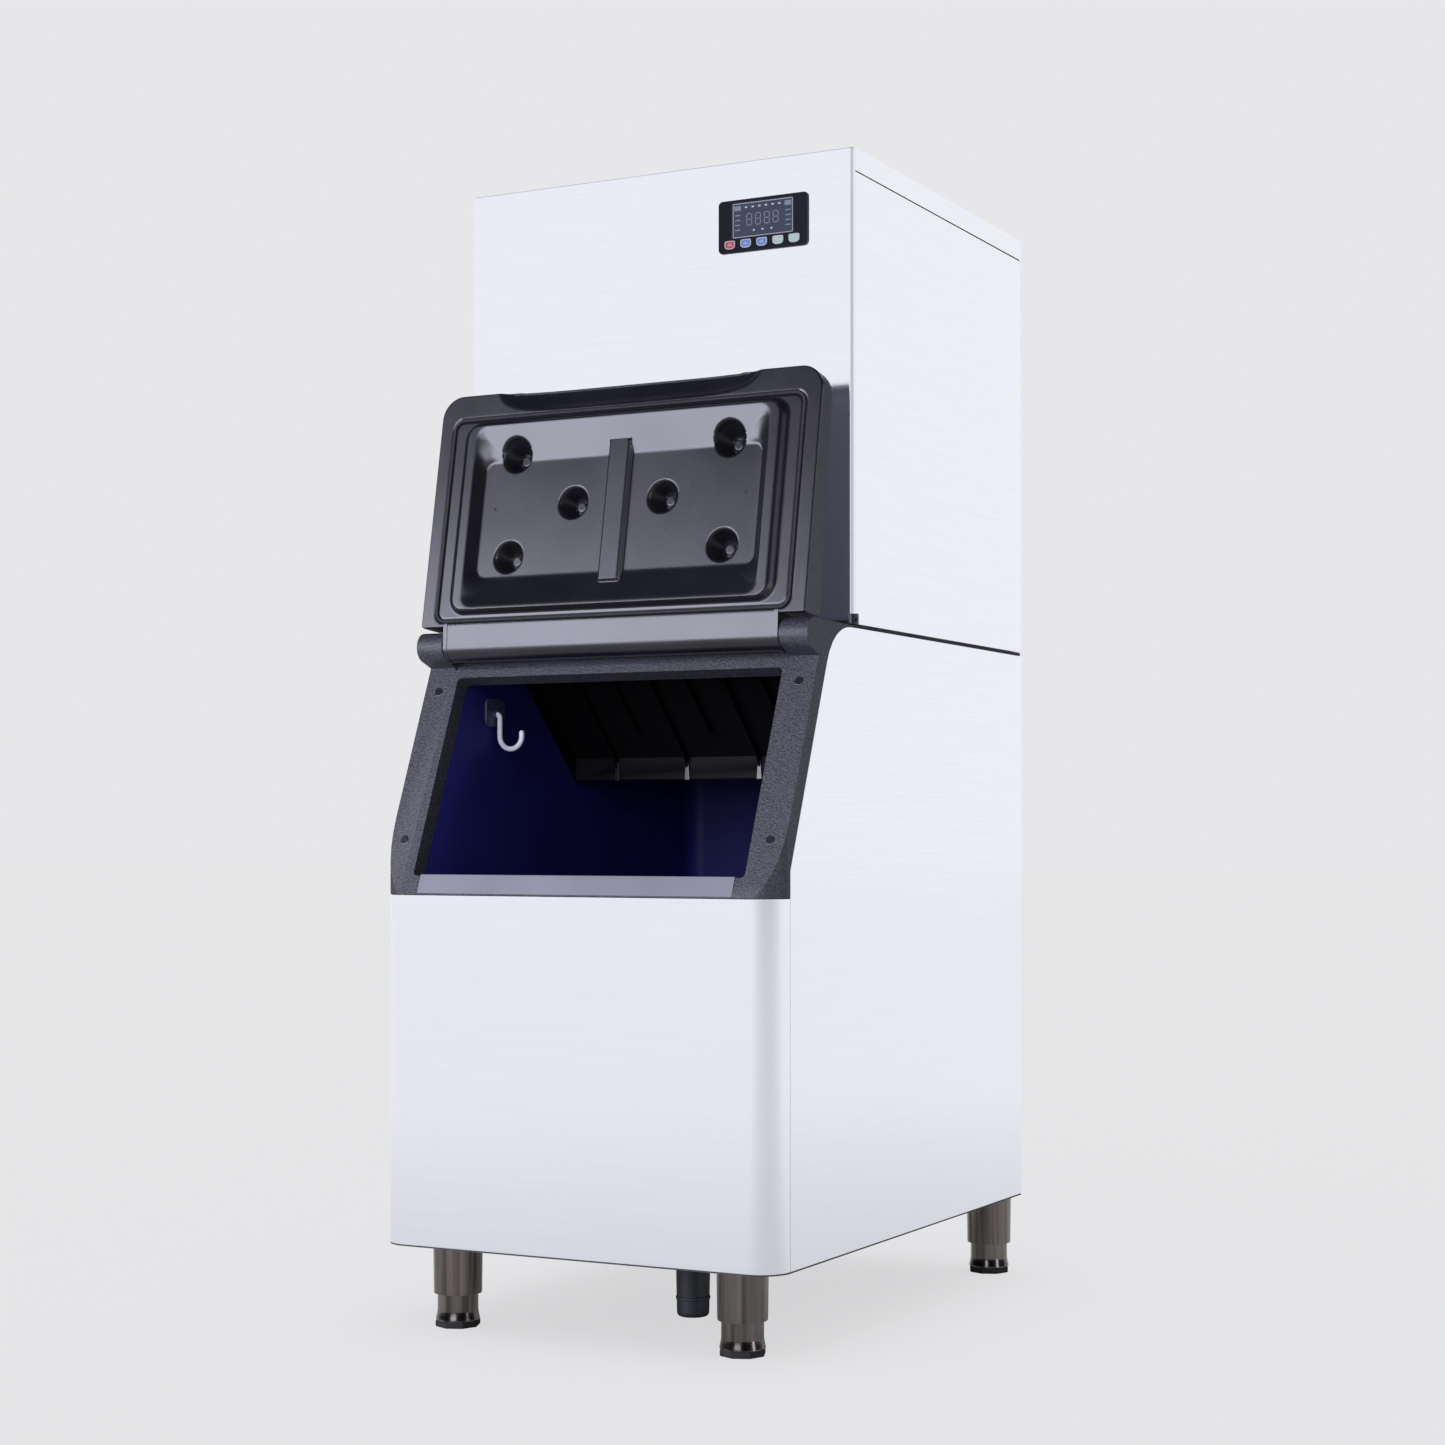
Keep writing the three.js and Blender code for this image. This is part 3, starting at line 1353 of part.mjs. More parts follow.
function makeHeadBack() {
  const half = halfWidth - sheetGap;
  const rear = binDepth - sheetGap;
  const low = headFloor + fitGap + sheetGap;
  const top = headTop - sheetGap;
  const sheet = box(-half, half, rear - sheetThickness, rear, low, top);
  const [x0, x1] = [fanX - louvre.length / 2, fanX + louvre.length / 2];
  const z0 = headFloor + louvre.bottom - 2 * sheetThickness;
  const z1 = headFloor + louvre.bottom + (louvre.count - 1) * louvre.pitch + louvre.height + sheetThickness;
  const field = (grow, y0, y1) => box(x0 - grow, x1 + grow, y0, y1, z0 - grow, z1 + grow);
  const face = rear + fitGap;
  const slots = [];
  const hoods = [];
  for (let i = 0; i < louvre.count; i++) {
    const z = headFloor + louvre.bottom + i * louvre.pitch;
    slots.push(box(x0, x1, face - cutOverrun, binDepth + cutOverrun, z, z + louvre.height));
    hoods.push(
      prismX(
        [
          [face, z + louvre.height],
          [face - louvre.out, z - sheetThickness],
          [face - louvre.out, z - sheetThickness * 2],
          [face + sheetThickness / 2, z + louvre.height - sheetThickness / 2],
          [face + sheetThickness / 2, z + louvre.height + sheetThickness],
          [face, z + louvre.height + sheetThickness],
        ],
        x0, x1,
      ),
    );
  }
  const grille = join(cut(field(louvre.lap, face, binDepth), ...slots), ...hoods);
  piece("head_rear_grille", grille, galvanised());

  const [sx, sz] = [serviceX, headFloor + service.centreZ];
  const cup = (grow, y0, y1) =>
    box(
      sx - service.width / 2 - grow, sx + service.width / 2 + grow, y0, y1,
      sz - service.height / 2 - grow, sz + service.height / 2 + grow,
    );
  const cupShell = cut(
    cup(sheetThickness, rear - service.depth, rear - sheetThickness / 2),
    cup(0, rear - service.depth + sheetThickness, rear + cutOverrun),
  );
  const floorFace = rear - service.depth;
  const [iz, gz] = [headFloor + inlet.z, headFloor + gland.z];
  const hole = (radius, x, z, count) => rodY(radius + fitGap, floorFace - cutOverrun, rear, x, z, count);
  const holes = [
    hole(inlet.threadRadius, inletX, iz, threadSides),
    hole(gland.domeRadius, glandX, gz, threadSides),
  ];
  const through = [rear - lipWidth, rear + lipWidth];
  const body = join(cut(sheet, field(louvre.margin, ...through), cup(0, ...through)), cupShell);
  piece("head_back_panel", cut(body, ...holes), galvanised());

  const size = inlet.bodySize / 2;
  const valveFront = floorFace - fitGap - inlet.bodyLength;
  const threadEnd = floorFace + inlet.threadLength;
  const valve = join(
    box(inletX - size, inletX + size, valveFront, floorFace - fitGap, iz - size, iz + size),
    rodY(inlet.threadRadius, floorFace - fitGap * 2, threadEnd, inletX, iz, threadSides),
    rodY(inlet.coilRadius, valveFront, valveFront + inlet.coilLength, inletX, iz + size, threadSides),
  );
  const bore = rodY(inlet.bore, floorFace - size, threadEnd + cutOverrun, inletX, iz, boreSides);
  piece("water_inlet_valve", cut(valve, bore), finish("#e8e6df", 0.5, 0));

  const nut = join(
    turned(
      [
        [0, 0],
        [gland.nutRadius, 0],
        [gland.nutRadius, gland.length / 2],
        [gland.domeRadius, gland.length],
        [0, gland.length],
      ],
      leg.nutSides,
    ),
    rod(gland.domeRadius, -gland.length / 2, gland.length / 2, threadSides),
  );
  const open = rod(gland.bore, -gland.length, gland.length + cutOverrun, boreSides);
  const turnedNut = cut(nut, open).rotate([-90, 0, 0]);
  piece("power_cord_gland", moved(turnedNut, glandX, floorFace + sheetGap, gz), blackAbs());
}
makeHeadBack();

function makeHeadTray() {
  const half = halfWidth - 2 * sheetGap;
  const front = headFront + lipWidth + fitGap;
  const rear = binDepth - 2 * sheetGap - sheetThickness - louvre.out;
  const low = headFloor + fitGap + sheetGap;
  const dropHalf = dropWidth / 2;
  const outline = [[-half, front], [half, front], [half, rear], [-half, rear]];
  const drop = roundedRect(-dropHalf, dropHalf, dropFront, dropRear, head.dropCorner);
  const dropCollar = roundedRect(
    -dropHalf - sheetThickness, dropHalf + sheetThickness,
    dropFront - sheetThickness, dropRear + sheetThickness, head.dropCorner + sheetThickness,
  );
  const wallIn = [
    [-half + sheetThickness, front + sheetThickness], [half - sheetThickness, front + sheetThickness],
    [half - sheetThickness, rear - sheetThickness], [-half + sheetThickness, rear - sheetThickness],
  ];
  const lockRoom = [-1, 1].map((side) =>
    box(
      ...sideSpan(side, halfWidth - head.lockThickness - fitGap, halfWidth),
      headFront, headFront + head.lockLength + fitGap, headFloor, low + head.lockHeight,
    ),
  );
  piece(
    "head_base_tray",
    cut(
      join(
        prismZ(outline, low, low + sheetThickness, [drop]),
        prismZ(outline, low, low + head.trayFlange, [wallIn]),
        prismZ(dropCollar, low, low + head.trayFlange / 2, [drop]),
      ),
      ...lockRoom,
    ),
    galvanised(),
  );
}
makeHeadTray();

// Control panel: bezel, display, buttons and circuit board
function makeControls() {
  const face = headFront - bezel.proud;
  const [x0, x1] = [bezelX - bezel.width / 2, bezelX + bezel.width / 2];
  const [z0, z1] = [bezelZ - bezel.height / 2, bezelZ + bezel.height / 2];
  const plate = prismY(roundedRect(x0, x1, z0, z1, bezel.corner), face, headFront - fitGap);
  const body = box(
    x0 + bezel.lap + fitGap, x1 - bezel.lap - fitGap, headFront - bezel.proud / 2, headFront + bezel.depth,
    z0 + bezel.lap + fitGap, z1 - bezel.lap - fitGap,
  );
  const [dx, dz] = [display.width / 2, display.height / 2];
  const windowCut = box(
    displayX - dx, displayX + dx, face - cutOverrun, headFront + bezel.depth + cutOverrun,
    displayZ - dz, displayZ + dz,
  );
  const cuts = [windowCut];
  const places = Array.from(
    { length: button.count },
    (_, i) => buttonX + (i - (button.count - 1) / 2) * button.pitch,
  );
  const back = headFront + bezel.depth;
  const plateBack = headFront + sheetThickness;
  const [flangeX, flangeZ] = [button.width / 2 + button.flange, button.height / 2 + button.flange];
  const flangeBox = (x, grow, y0, y1) =>
    box(
      x - flangeX - grow, x + flangeX + grow, y0, y1,
      buttonZ - flangeZ - grow, buttonZ + flangeZ + grow,
    );
  for (const x of places) {
    cuts.push(prismY(buttonOutline(x, button.clearance), face - cutOverrun, back + cutOverrun));
    cuts.push(flangeBox(x, button.clearance, plateBack, back + cutOverrun));
  }
  piece("control_bezel", cut(join(plate, body), ...cuts), finish("#1c1c20", 0.4, 0));

  const screenFace = face + display.recess;
  piece(
    "control_display",
    box(
      displayX - dx + fitGap, displayX + dx - fitGap,
      screenFace, screenFace + display.thickness,
      displayZ - dz + fitGap, displayZ + dz - fitGap,
    ),
    finish("#8b93a0", 0.25, 0),
  );
  const colours = ["#b3262e", "#2f63b8", "#2f63b8", "#b9d8cf", "#b9d8cf"];
  places.forEach((x, i) => {
    const cap = prismY(buttonOutline(x, 0), face - button.proud, plateBack + fitGap + button.flangeThickness);
    const flange = flangeBox(x, 0, plateBack + fitGap, plateBack + fitGap + button.flangeThickness);
    piece("control_button_" + (i + 1), join(cap, flange), finish(colours[i], 0.4, 0));
  });

  const boardFront = back + fitGap;
  const bx = board.width / 2;
  const bz = board.height / 2;
  piece(
    "control_board",
    box(
      bezelX - bx, bezelX + bx, boardFront, boardFront + board.thickness,
      bezelZ - bz, bezelZ + bz,
    ),
    finish("#1f6b3a", 0.5, 0),
  );
}

// A small shield: a flat-topped key with a blunt point below
function buttonOutline(x, grow) {
  const [w, h] = [button.width / 2 + grow, button.height / 2 + grow];
  const z = buttonZ;
  const [tipX, tipZ] = [w * button.tipWidthShare, z - h * button.tipDropShare];
  const sideZ = z - h * button.sideDropShare;
  return [
    [x, z - h],
    [x + tipX, tipZ],
    [x + w, sideZ],
    [x + w, z + h],
    [x - w, z + h],
    [x - w, sideZ],
    [x - tipX, tipZ],
  ];
}
makeControls();

// Food zone of the head: partition, evaporator, spray tube, curtain, trough and pump
function makeFoodZone() {
  const base = trayTop;
  const half = halfWidth - 3 * sheetGap;
  const depth = partitionDepth;
  const partitionTop = headFloor + headHeight - partition.topDrop;
  piece(
    "machine_partition",
    prismX(
      [
        [depth, base],
        [depth + partition.foldWidth, base],
        [depth + partition.foldWidth, base + sheetThickness],
        [depth + sheetThickness, base + sheetThickness],
        [depth + sheetThickness, partitionTop - sheetThickness],
        [depth + partition.foldWidth, partitionTop - sheetThickness],
        [depth + partition.foldWidth, partitionTop],
        [depth, partitionTop],
      ],
      -half, half,
    ),
    galvanised(),
  );

  const ew = evaporatorWidth / 2;
  const [e0, e1] = [headFloor + evaporator.bottom, headFloor + headHeight - evaporator.topDrop];
  const cellsWide = (evaporatorWidth - 2 * evaporator.border + evaporator.finThickness) / evaporator.columns;
  const cellsHigh = (e1 - e0 - 2 * evaporator.border + evaporator.finThickness) / evaporator.rows;
  const pocketDepth = evaporator.gridDepth - evaporator.plateThickness;
  const pockets = [];
  for (let c = 0; c < evaporator.columns; c++) {
    for (let r = 0; r < evaporator.rows; r++) {
      const x = -ew + evaporator.border + c * cellsWide;
      const z = e0 + evaporator.border + r * cellsHigh;
      const [w, h] = [cellsWide - evaporator.finThickness, cellsHigh - evaporator.finThickness];
      pockets.push(box(x, x + w, evaporatorDepth - cutOverrun, evaporatorDepth + pocketDepth, z, z + h));
    }
  }
  const gridFront = evaporatorDepth;
  const gridBack = gridFront + evaporator.gridDepth;
  const bracket = (side, z) => {
    const span = sideSpan(side, ew - evaporator.bracketWidth, ew);
    return box(...span, gridBack, depth - fitGap, z, z + evaporator.bracketWidth);
  };
  const earX = curtainWidth / 2 + fitGap * 2;
  const hingeZ = e1 + curtain.hingeRise;
  const hingeY = gridFront - curtain.gapToGrid;
  const ears = [-1, 1].flatMap((side) => {
    const [a, b] = sideSpan(side, earX, earX + curtain.earThickness);
    const arm = prismX(
      [
        [hingeY - curtain.earReach, hingeZ - curtain.earReach],
        [gridBack, e1 - curtain.earFoot],
        [gridBack, hingeZ + curtain.earReach],
        [hingeY - curtain.earReach, hingeZ + curtain.earReach],
      ],
      a, b,
    );
    const tieSpan = sideSpan(side, ew - sheetThickness, earX + sheetThickness);
    return [
      cut(arm, rodX(curtain.pinRadius + fitGap, a - cutOverrun, b + cutOverrun, hingeY, hingeZ, postSides)),
      box(...tieSpan, gridFront + fitGap, gridBack, e1 - evaporator.bracketWidth, e1),
    ];
  });
  const grid = cut(box(-ew, ew, gridFront, gridBack, e0, e1), ...pockets);
  const brackets = [e0, e1 - evaporator.bracketWidth].flatMap((z) => [bracket(-1, z), bracket(1, z)]);
  piece("evaporator_plate", join(grid, ...brackets, ...ears), finish("#c9ccd2", 0.25, 1));

  const sprayZ = e1 + spray.rise;
  const sprayHalf = (evaporatorWidth - 2 * spray.endInset) / 2;
  const tubeBody = cut(
    rodX(spray.radius, -sprayHalf, sprayHalf, sprayDepth, sprayZ, boreSides),
    rodX(spray.bore, -sprayHalf + spray.radius, sprayHalf + cutOverrun, sprayDepth, sprayZ, boreSides),
  );
  const clips = [-1, 1].map((side) => {
    const x = side * (ew - spray.clipInset);
    return box(
      x - spray.clipWidth / 2, x + spray.clipWidth / 2, sprayDepth - spray.radius / 2, depth - fitGap,
      sprayZ - spray.clipLow, sprayZ - spray.clipTop,
    );
  });
  piece("water_spray_tube", join(tubeBody, ...clips), finish("#eef0f2", 0.4, 0));

  const cw = curtainWidth / 2;
  const curtainBack = hingeY + curtain.thickness / 2;
  const curtainLow = e0 - curtain.bottomDrop;
  const sheet = box(-cw, cw, hingeY - curtain.thickness / 2, curtainBack, curtainLow, hingeZ);
  const ribs = Array.from({ length: curtain.ribCount }, (_, i) => {
    const x = -cw + ((i + 0.5) * curtainWidth) / curtain.ribCount;
    return box(
      x - curtain.ribWidth / 2, x + curtain.ribWidth / 2,
      hingeY - curtain.thickness / 2 - curtain.ribHeight, hingeY, curtainLow, hingeZ - curtain.ribTopGap,
    );
  });
  const pinEnd = cw + curtain.earThickness;
  const pins = rodX(curtain.pinRadius, -pinEnd, pinEnd, hingeY, hingeZ, postSides);
  const kick = prismX(
    [
      [hingeY - curtain.thickness / 2, curtainLow],
      [hingeY - curtain.kickReach, curtainLow - curtain.bottomDrop / 2],
      [hingeY - curtain.thickness, curtainLow - curtain.bottomDrop / 2],
      [curtainBack, curtainLow + curtain.thickness / 2],
      [hingeY - curtain.thickness / 2, curtainLow + curtain.thickness],
    ],
    -cw, cw,
  );
  piece("water_curtain", join(sheet, ...ribs, pins, kick), finish("#dfe6ea", 0.35, 0));

  const tw = troughWidth / 2;
  const t0 = headFloor + trough.bottom;
  const t1 = t0 + trough.height;
  const tray = (inset, z0, z1) => {
    const draft = trough.draft;
    const ring = (grow, z) => [
      [-tw + inset + grow, troughFront + inset + grow, z],
      [tw - inset - grow, troughFront + inset + grow, z],
      [tw - inset - grow, depth - fitGap - inset, z],
      [-tw + inset + grow, depth - fitGap - inset, z],
    ];
    return loft([ring(draft, z0), ring(0, z1)]);
  };
  const basin = cut(tray(0, t0, t1), tray(trough.wall, t0 + trough.wall, t1 + cutOverrun));
  piece("water_trough", basin, finish("#23262b", 0.5, 0));

  const pumpBase = t1 + trough.wall;
  const upright = (radius, z0, z1, count) => moved(rod(radius, z0, z1, count), pumpX, pumpDepth, 0);
  piece(
    "water_pump",
    join(
      upright(pump.bodyRadius, pumpBase, pumpBase + pump.bodyHeight, coneSides),
      upright(pump.footRadius, pumpBase - pump.footHeight, pumpBase + fitGap, threadSides),
      box(
        pumpX - pump.bodyRadius, pumpX + pump.bodyRadius, pumpDepth, depth - fitGap,
        pumpBase, pumpBase + pump.bracket,
      ),
    ),
    finish("#33363c", 0.5, 0),
  );
}
makeFoodZone();

// Machine compartment: compressor, condenser and its fan
function makeMachineRoom() {
  const base = trayTop;
  const c = compressor;
  const bodyLow = base + c.footHeight + c.plateThickness;
  const dome = (start, z) =>
    arc(0, 0, 1, start, start + 90, domeSteps).map(([a, b]) => [a * c.radius, z + b * c.domeHeight]);
  const shell = turned(
    [
      ...dome(-90, bodyLow + c.domeHeight),
      [c.radius, bodyLow + c.weldRise],
      [c.radius + c.plateThickness, bodyLow + c.weldRise],
      [c.radius + c.plateThickness, bodyLow + c.weldRise + c.plateThickness],
      [c.radius, bodyLow + c.weldRise + c.plateThickness],
      ...dome(0, bodyLow + c.height - c.domeHeight),
    ],
    barrelSides,
  );
  const [footX, footY] = [c.footSpanX / 2, c.footSpanY / 2];
  const foot = rod(c.footRadius, base, bodyLow, postSides);
  const feet = [-footX, footX].flatMap((x) => [-footY, footY].map((y) => moved(foot, x, y, 0)));
  const saddleLow = base + c.footHeight;
  const plate = box(
    -footX - c.footRadius, footX + c.footRadius, -footY - c.footRadius, footY + c.footRadius,
    saddleLow, saddleLow + c.saddleHeight,
  );
  const pipes = [-1, 1].map((side) =>
    rodX(
      c.pipeRadius, ...sideSpan(side, c.radius - c.pipeRadius, c.radius + c.pipeReach), 0,
      bodyLow + c.weldRise + c.pipeReach, pipeSides,
    ),
  );
  const unit = join(shell, ...feet, plate, ...pipes);
  piece("compressor", moved(unit, compressorX, compressorDepth, 0), finish("#1d1e20", 0.55, 0.4));

  const rear = binDepth - 3 * sheetGap - louvre.out - condenser.rearGap;
  const front = rear - condenser.depth;
  const half = condenser.width / 2;
  const core = box(fanX - half, fanX + half, front, rear, base, base + condenser.height);
  const pitch = (condenser.width - condenser.finGap) / condenser.fins;
  const grooves = Array.from({ length: condenser.fins }, (_, i) => {
    const x = fanX - half + condenser.finGap + i * pitch;
    return box(
      x, x + condenser.finGap, rear - condenser.finDepth, rear + cutOverrun,
      base + condenser.finGap, base + condenser.height - condenser.finGap,
    );
  });
  piece("condenser", cut(core, ...grooves), finish("#8d9194", 0.45, 0.9));

  const axisZ = base + condenser.height / 2;
  const shroudBack = front - fitGap;
  const shroudFront = shroudBack - fan.shroudDepth;
  const ringOuter = fan.radius + fan.tipClearance + fan.shroudWall;
  const ringInner = fan.radius + fan.tipClearance;
  const hood = cut(
    join(
      box(
        fanX - half, fanX + half, shroudBack - fan.plateThickness, shroudBack,
        base, base + condenser.height,
      ),
      rodY(ringOuter, shroudFront, shroudBack - fan.shroudWall, fanX, axisZ, ringSides),
    ),
    rodY(ringInner, shroudFront - cutOverrun, shroudBack + cutOverrun, fanX, axisZ, ringSides),
  );
  const motorBack = shroudFront - fan.faceGap;
  const armFront = motorBack - fan.armWidth;
  const armHalf = fan.armWidth / 2;
  const arm = join(
    box(fan.motorRadius + fitGap, ringOuter, armFront, armFront + fan.armThickness, -armHalf, armHalf),
    box(
      ringOuter - fan.shroudWall, ringOuter + fan.armThickness, armFront, shroudFront + fan.armWidth,
      -armHalf, armHalf,
    ),
  );
  const arms = Array.from({ length: fan.armCount }, (_, i) =>
    moved(arm.rotate([0, 90 + (360 * i) / fan.armCount, 0]), fanX, 0, axisZ),
  );
  piece("fan_shroud", join(hood, ...arms), finish("#2a2c2f", 0.6, 0));

  const motor = join(
    rodY(fan.motorRadius, motorBack - fan.motorLength, motorBack, fanX, axisZ, motorSides),
    rodY(fan.shaftRadius, motorBack - fitGap, motorBack + fan.shaftLength, fanX, axisZ, postSides),
  );
  piece("fan_motor", motor, finish("#43474c", 0.5, 0.6));

  const hubFront = motorBack + fan.faceGap / 2;
  const hub = cut(
    rodY(fan.hubRadius, hubFront, hubFront + fan.hubLength, fanX, axisZ, coneSides),
    rodY(
      fan.shaftRadius + fitGap, hubFront - cutOverrun, motorBack + fan.shaftLength + fitGap, fanX, axisZ,
      postSides,
    ),
  );
  const blades = Array.from({ length: fan.blades }, (_, i) =>
    moved(fanBlade().rotate([0, (360 * i) / fan.blades, 0]), fanX, hubFront + fan.hubLength / 2, axisZ),
  );
  piece("condenser_fan", join(hub, ...blades), finish("#c7cacd", 0.35, 0.9));
}

// One twisted blade about the Y axis: each station is a thin section turned to its pitch
function fanBlade() {
  const inner = fan.hubRadius * fan.rootShare;
  const rings = [];
  for (let i = 0; i <= fan.stations; i++) {
    const t = i / fan.stations;
    const radius = THREE.MathUtils.lerp(inner, fan.radius, t);
    const chordShare = THREE.MathUtils.lerp(1, fan.tipChordShare, t);
    const sweep = THREE.MathUtils.degToRad(fan.sweepDegrees) * chordShare;
    const chord = radius * sweep;
    const pitchShare = THREE.MathUtils.lerp(fan.rootPitchShare, fan.tipPitchShare, t);
    const pitch = THREE.MathUtils.degToRad(fan.pitchDegrees) * pitchShare;
    const ring = [];
    for (const [u, v] of [[-1, -1], [1, -1], [1, 1], [-1, 1]]) {
      const along = (u * chord) / 2;
      const across = (v * fan.bladeThickness) / 2;
      ring.push([
        along * Math.cos(pitch) - across * Math.sin(pitch),
        along * Math.sin(pitch) + across * Math.cos(pitch),
        radius,
      ]);
    }
    rings.push(ring);
  }
  return loft(rings);
}
makeMachineRoom();

export default machine;
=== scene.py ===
"""Ice maker on its storage bin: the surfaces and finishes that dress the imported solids.

Lengths are millimetres from the middle of the bin's front foot, with x to the right, y inwards and z up,
until a piece is made, which puts them into the frame's metres.
"""
import json
import math

import bmesh
import bpy
import numpy as np
from bpy.props import FloatProperty, IntProperty, PointerProperty, StringProperty
from bpy.types import Operator, Panel, PropertyGroup
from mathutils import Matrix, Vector
from mathutils.geometry import tessellate_polygon

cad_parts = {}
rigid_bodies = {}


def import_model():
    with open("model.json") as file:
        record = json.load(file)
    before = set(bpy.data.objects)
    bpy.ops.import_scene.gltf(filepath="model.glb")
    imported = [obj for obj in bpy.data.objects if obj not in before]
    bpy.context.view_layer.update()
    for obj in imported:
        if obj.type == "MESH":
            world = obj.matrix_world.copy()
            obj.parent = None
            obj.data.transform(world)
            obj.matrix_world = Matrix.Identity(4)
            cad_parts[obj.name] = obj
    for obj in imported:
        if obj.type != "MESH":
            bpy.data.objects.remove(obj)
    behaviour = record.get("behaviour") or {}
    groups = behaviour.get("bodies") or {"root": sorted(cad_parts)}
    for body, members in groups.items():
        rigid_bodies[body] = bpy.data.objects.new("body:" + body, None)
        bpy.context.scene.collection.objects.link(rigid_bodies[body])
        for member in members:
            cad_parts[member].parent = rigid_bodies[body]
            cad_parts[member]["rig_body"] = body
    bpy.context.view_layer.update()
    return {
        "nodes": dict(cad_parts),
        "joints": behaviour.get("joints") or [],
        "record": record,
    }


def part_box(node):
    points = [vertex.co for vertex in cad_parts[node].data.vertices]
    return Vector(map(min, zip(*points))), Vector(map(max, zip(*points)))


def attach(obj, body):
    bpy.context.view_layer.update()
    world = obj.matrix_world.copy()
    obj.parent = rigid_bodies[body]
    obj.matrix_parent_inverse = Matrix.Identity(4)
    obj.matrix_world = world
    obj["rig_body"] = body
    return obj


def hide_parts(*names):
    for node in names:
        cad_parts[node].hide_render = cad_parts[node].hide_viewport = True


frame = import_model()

bl_info = {
    "name": "Ice Maker Dressing",
    "version": (1, 0, 0),
    "blender": (4, 5, 0),
    "location": "3D View > Sidebar > Ice Maker",
    "description": "Builds the visible surfaces and finishes of an ice maker around its solids",
    "category": "Object",
}

MM = 0.001
JOINTS = {joint["name"]: joint for joint in frame["joints"]}

# Where the solids put things, in millimetres
ORIGIN = np.array(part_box("bin_front_panel")[0]) * [0, 1, 1] / MM
HALF_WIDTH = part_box("bin_front_panel")[1].x / MM
BIN_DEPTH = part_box("bin_side_panel_right")[1].y / MM - ORIGIN[1]
BIN_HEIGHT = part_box("bin_side_panel_right")[1].z / MM - ORIGIN[2]
HEAD_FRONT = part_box("head_front_panel")[0].y / MM - ORIGIN[1]
HEAD_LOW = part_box("head_front_panel")[0].z / MM - ORIGIN[2]
HEAD_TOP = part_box("head_top_cover")[1].z / MM - ORIGIN[2]
HINGE = np.array(JOINTS["lid_hinge"]["pos_m"]) / MM - ORIGIN
LEG_HEIGHT = ORIGIN[2]
SEAM = 0.3
SHEET = 1.2
SLOPE = math.radians(22)
LID_LEAN = math.radians(10.2)
SILL_HEIGHT = 440
CORNER = 39
FRAME_DEPTH = 26


# Plans and profiles


def arc(centre, radius, start, end, steps):
    """The centre plus the radius times cosine and sine of equal angles from start to end, in degrees."""
    angle = np.radians(np.linspace(start, end, steps + 1))
    return np.column_stack([centre[0] + radius * np.cos(angle), centre[1] + radius * np.sin(angle)])


def rounded_plan(low, high, radius, top_radius=None, steps=8):
    """A closed plan between two corners, counter-clockwise, with a quarter circle at each corner."""
    top = radius if top_radius is None else top_radius
    (x0, z0), (x1, z1) = low, high
    return np.concatenate(
        [
            arc((x1 - radius, z0 + radius), radius, -90, 0, steps),
            arc((x1 - top, z1 - top), top, 0, 90, steps),
            arc((x0 + top, z1 - top), top, 90, 180, steps),
            arc((x0 + radius, z0 + radius), radius, 180, 270, steps),
        ]
    )


def drawn_in(plan, distance, closed=True):
    """Each point moves along the sum of its two edge normals over one plus their dot product, so that
    both edges keep the distance. Counter-clockwise plans shrink."""
    edge = np.roll(plan, -1, 0) - plan
    normal = np.column_stack([edge[:, 1], -edge[:, 0]])
    normal /= np.maximum(np.linalg.norm(normal, axis=1, keepdims=True), 1e-9)
    if not closed:
        normal[-1] = normal[-2]
    before = np.roll(normal, 1, 0)
    if not closed:
        before[0] = normal[0]
    dot = (normal * before).sum(1, keepdims=True)
    return plan - distance * (normal + before) / np.maximum(1 + dot, 0.2)


def quarter(radius, steps=4):
    """Insets and rises of a quarter round: the radius times one minus the sine, and one minus the cosine."""
    angle = np.linspace(0, math.pi / 2, steps)
    return radius * (1 - np.sin(angle)), radius * (1 - np.cos(angle))


def rounded_edge(low, high, radius):
    """Insets and heights of a plate's edge, with a quarter round below and above."""
    if not radius:
        return np.array([[0, low], [0, high]])
    inset, rise = quarter(radius)
    return np.concatenate([np.column_stack([inset, low + rise]), np.column_stack([inset, high - rise])[::-1]])


def at_height(plan, height):
    """The plan's points with the height as their third number."""
    return np.column_stack([plan, np.full(len(plan), height)])


def carried(profile, plan, closed=False):
    """Rows of a sheet: the plan drawn in by each of the profile's insets, at each of its heights."""
    return np.stack([at_height(drawn_in(plan, inset, closed), height) for inset, height in profile])


def grid_faces(rows, columns, closed):
    """Each quad joins point (i, j) to the next column and the next row."""
    i = np.arange(rows - 1)[:, None] * columns
    j = np.arange(columns if closed else columns - 1)[None, :]
    after, above = (j + 1) % columns, i + columns
    return np.stack(np.broadcast_arrays(i + j, i + after, above + after, above + j), -1).reshape(-1, 4)


# Which of plan width, plan height and slab height becomes x, y and z
FRONT, SIDE, TOP = (0, 2, 1), (2, 0, 1), (0, 1, 2)


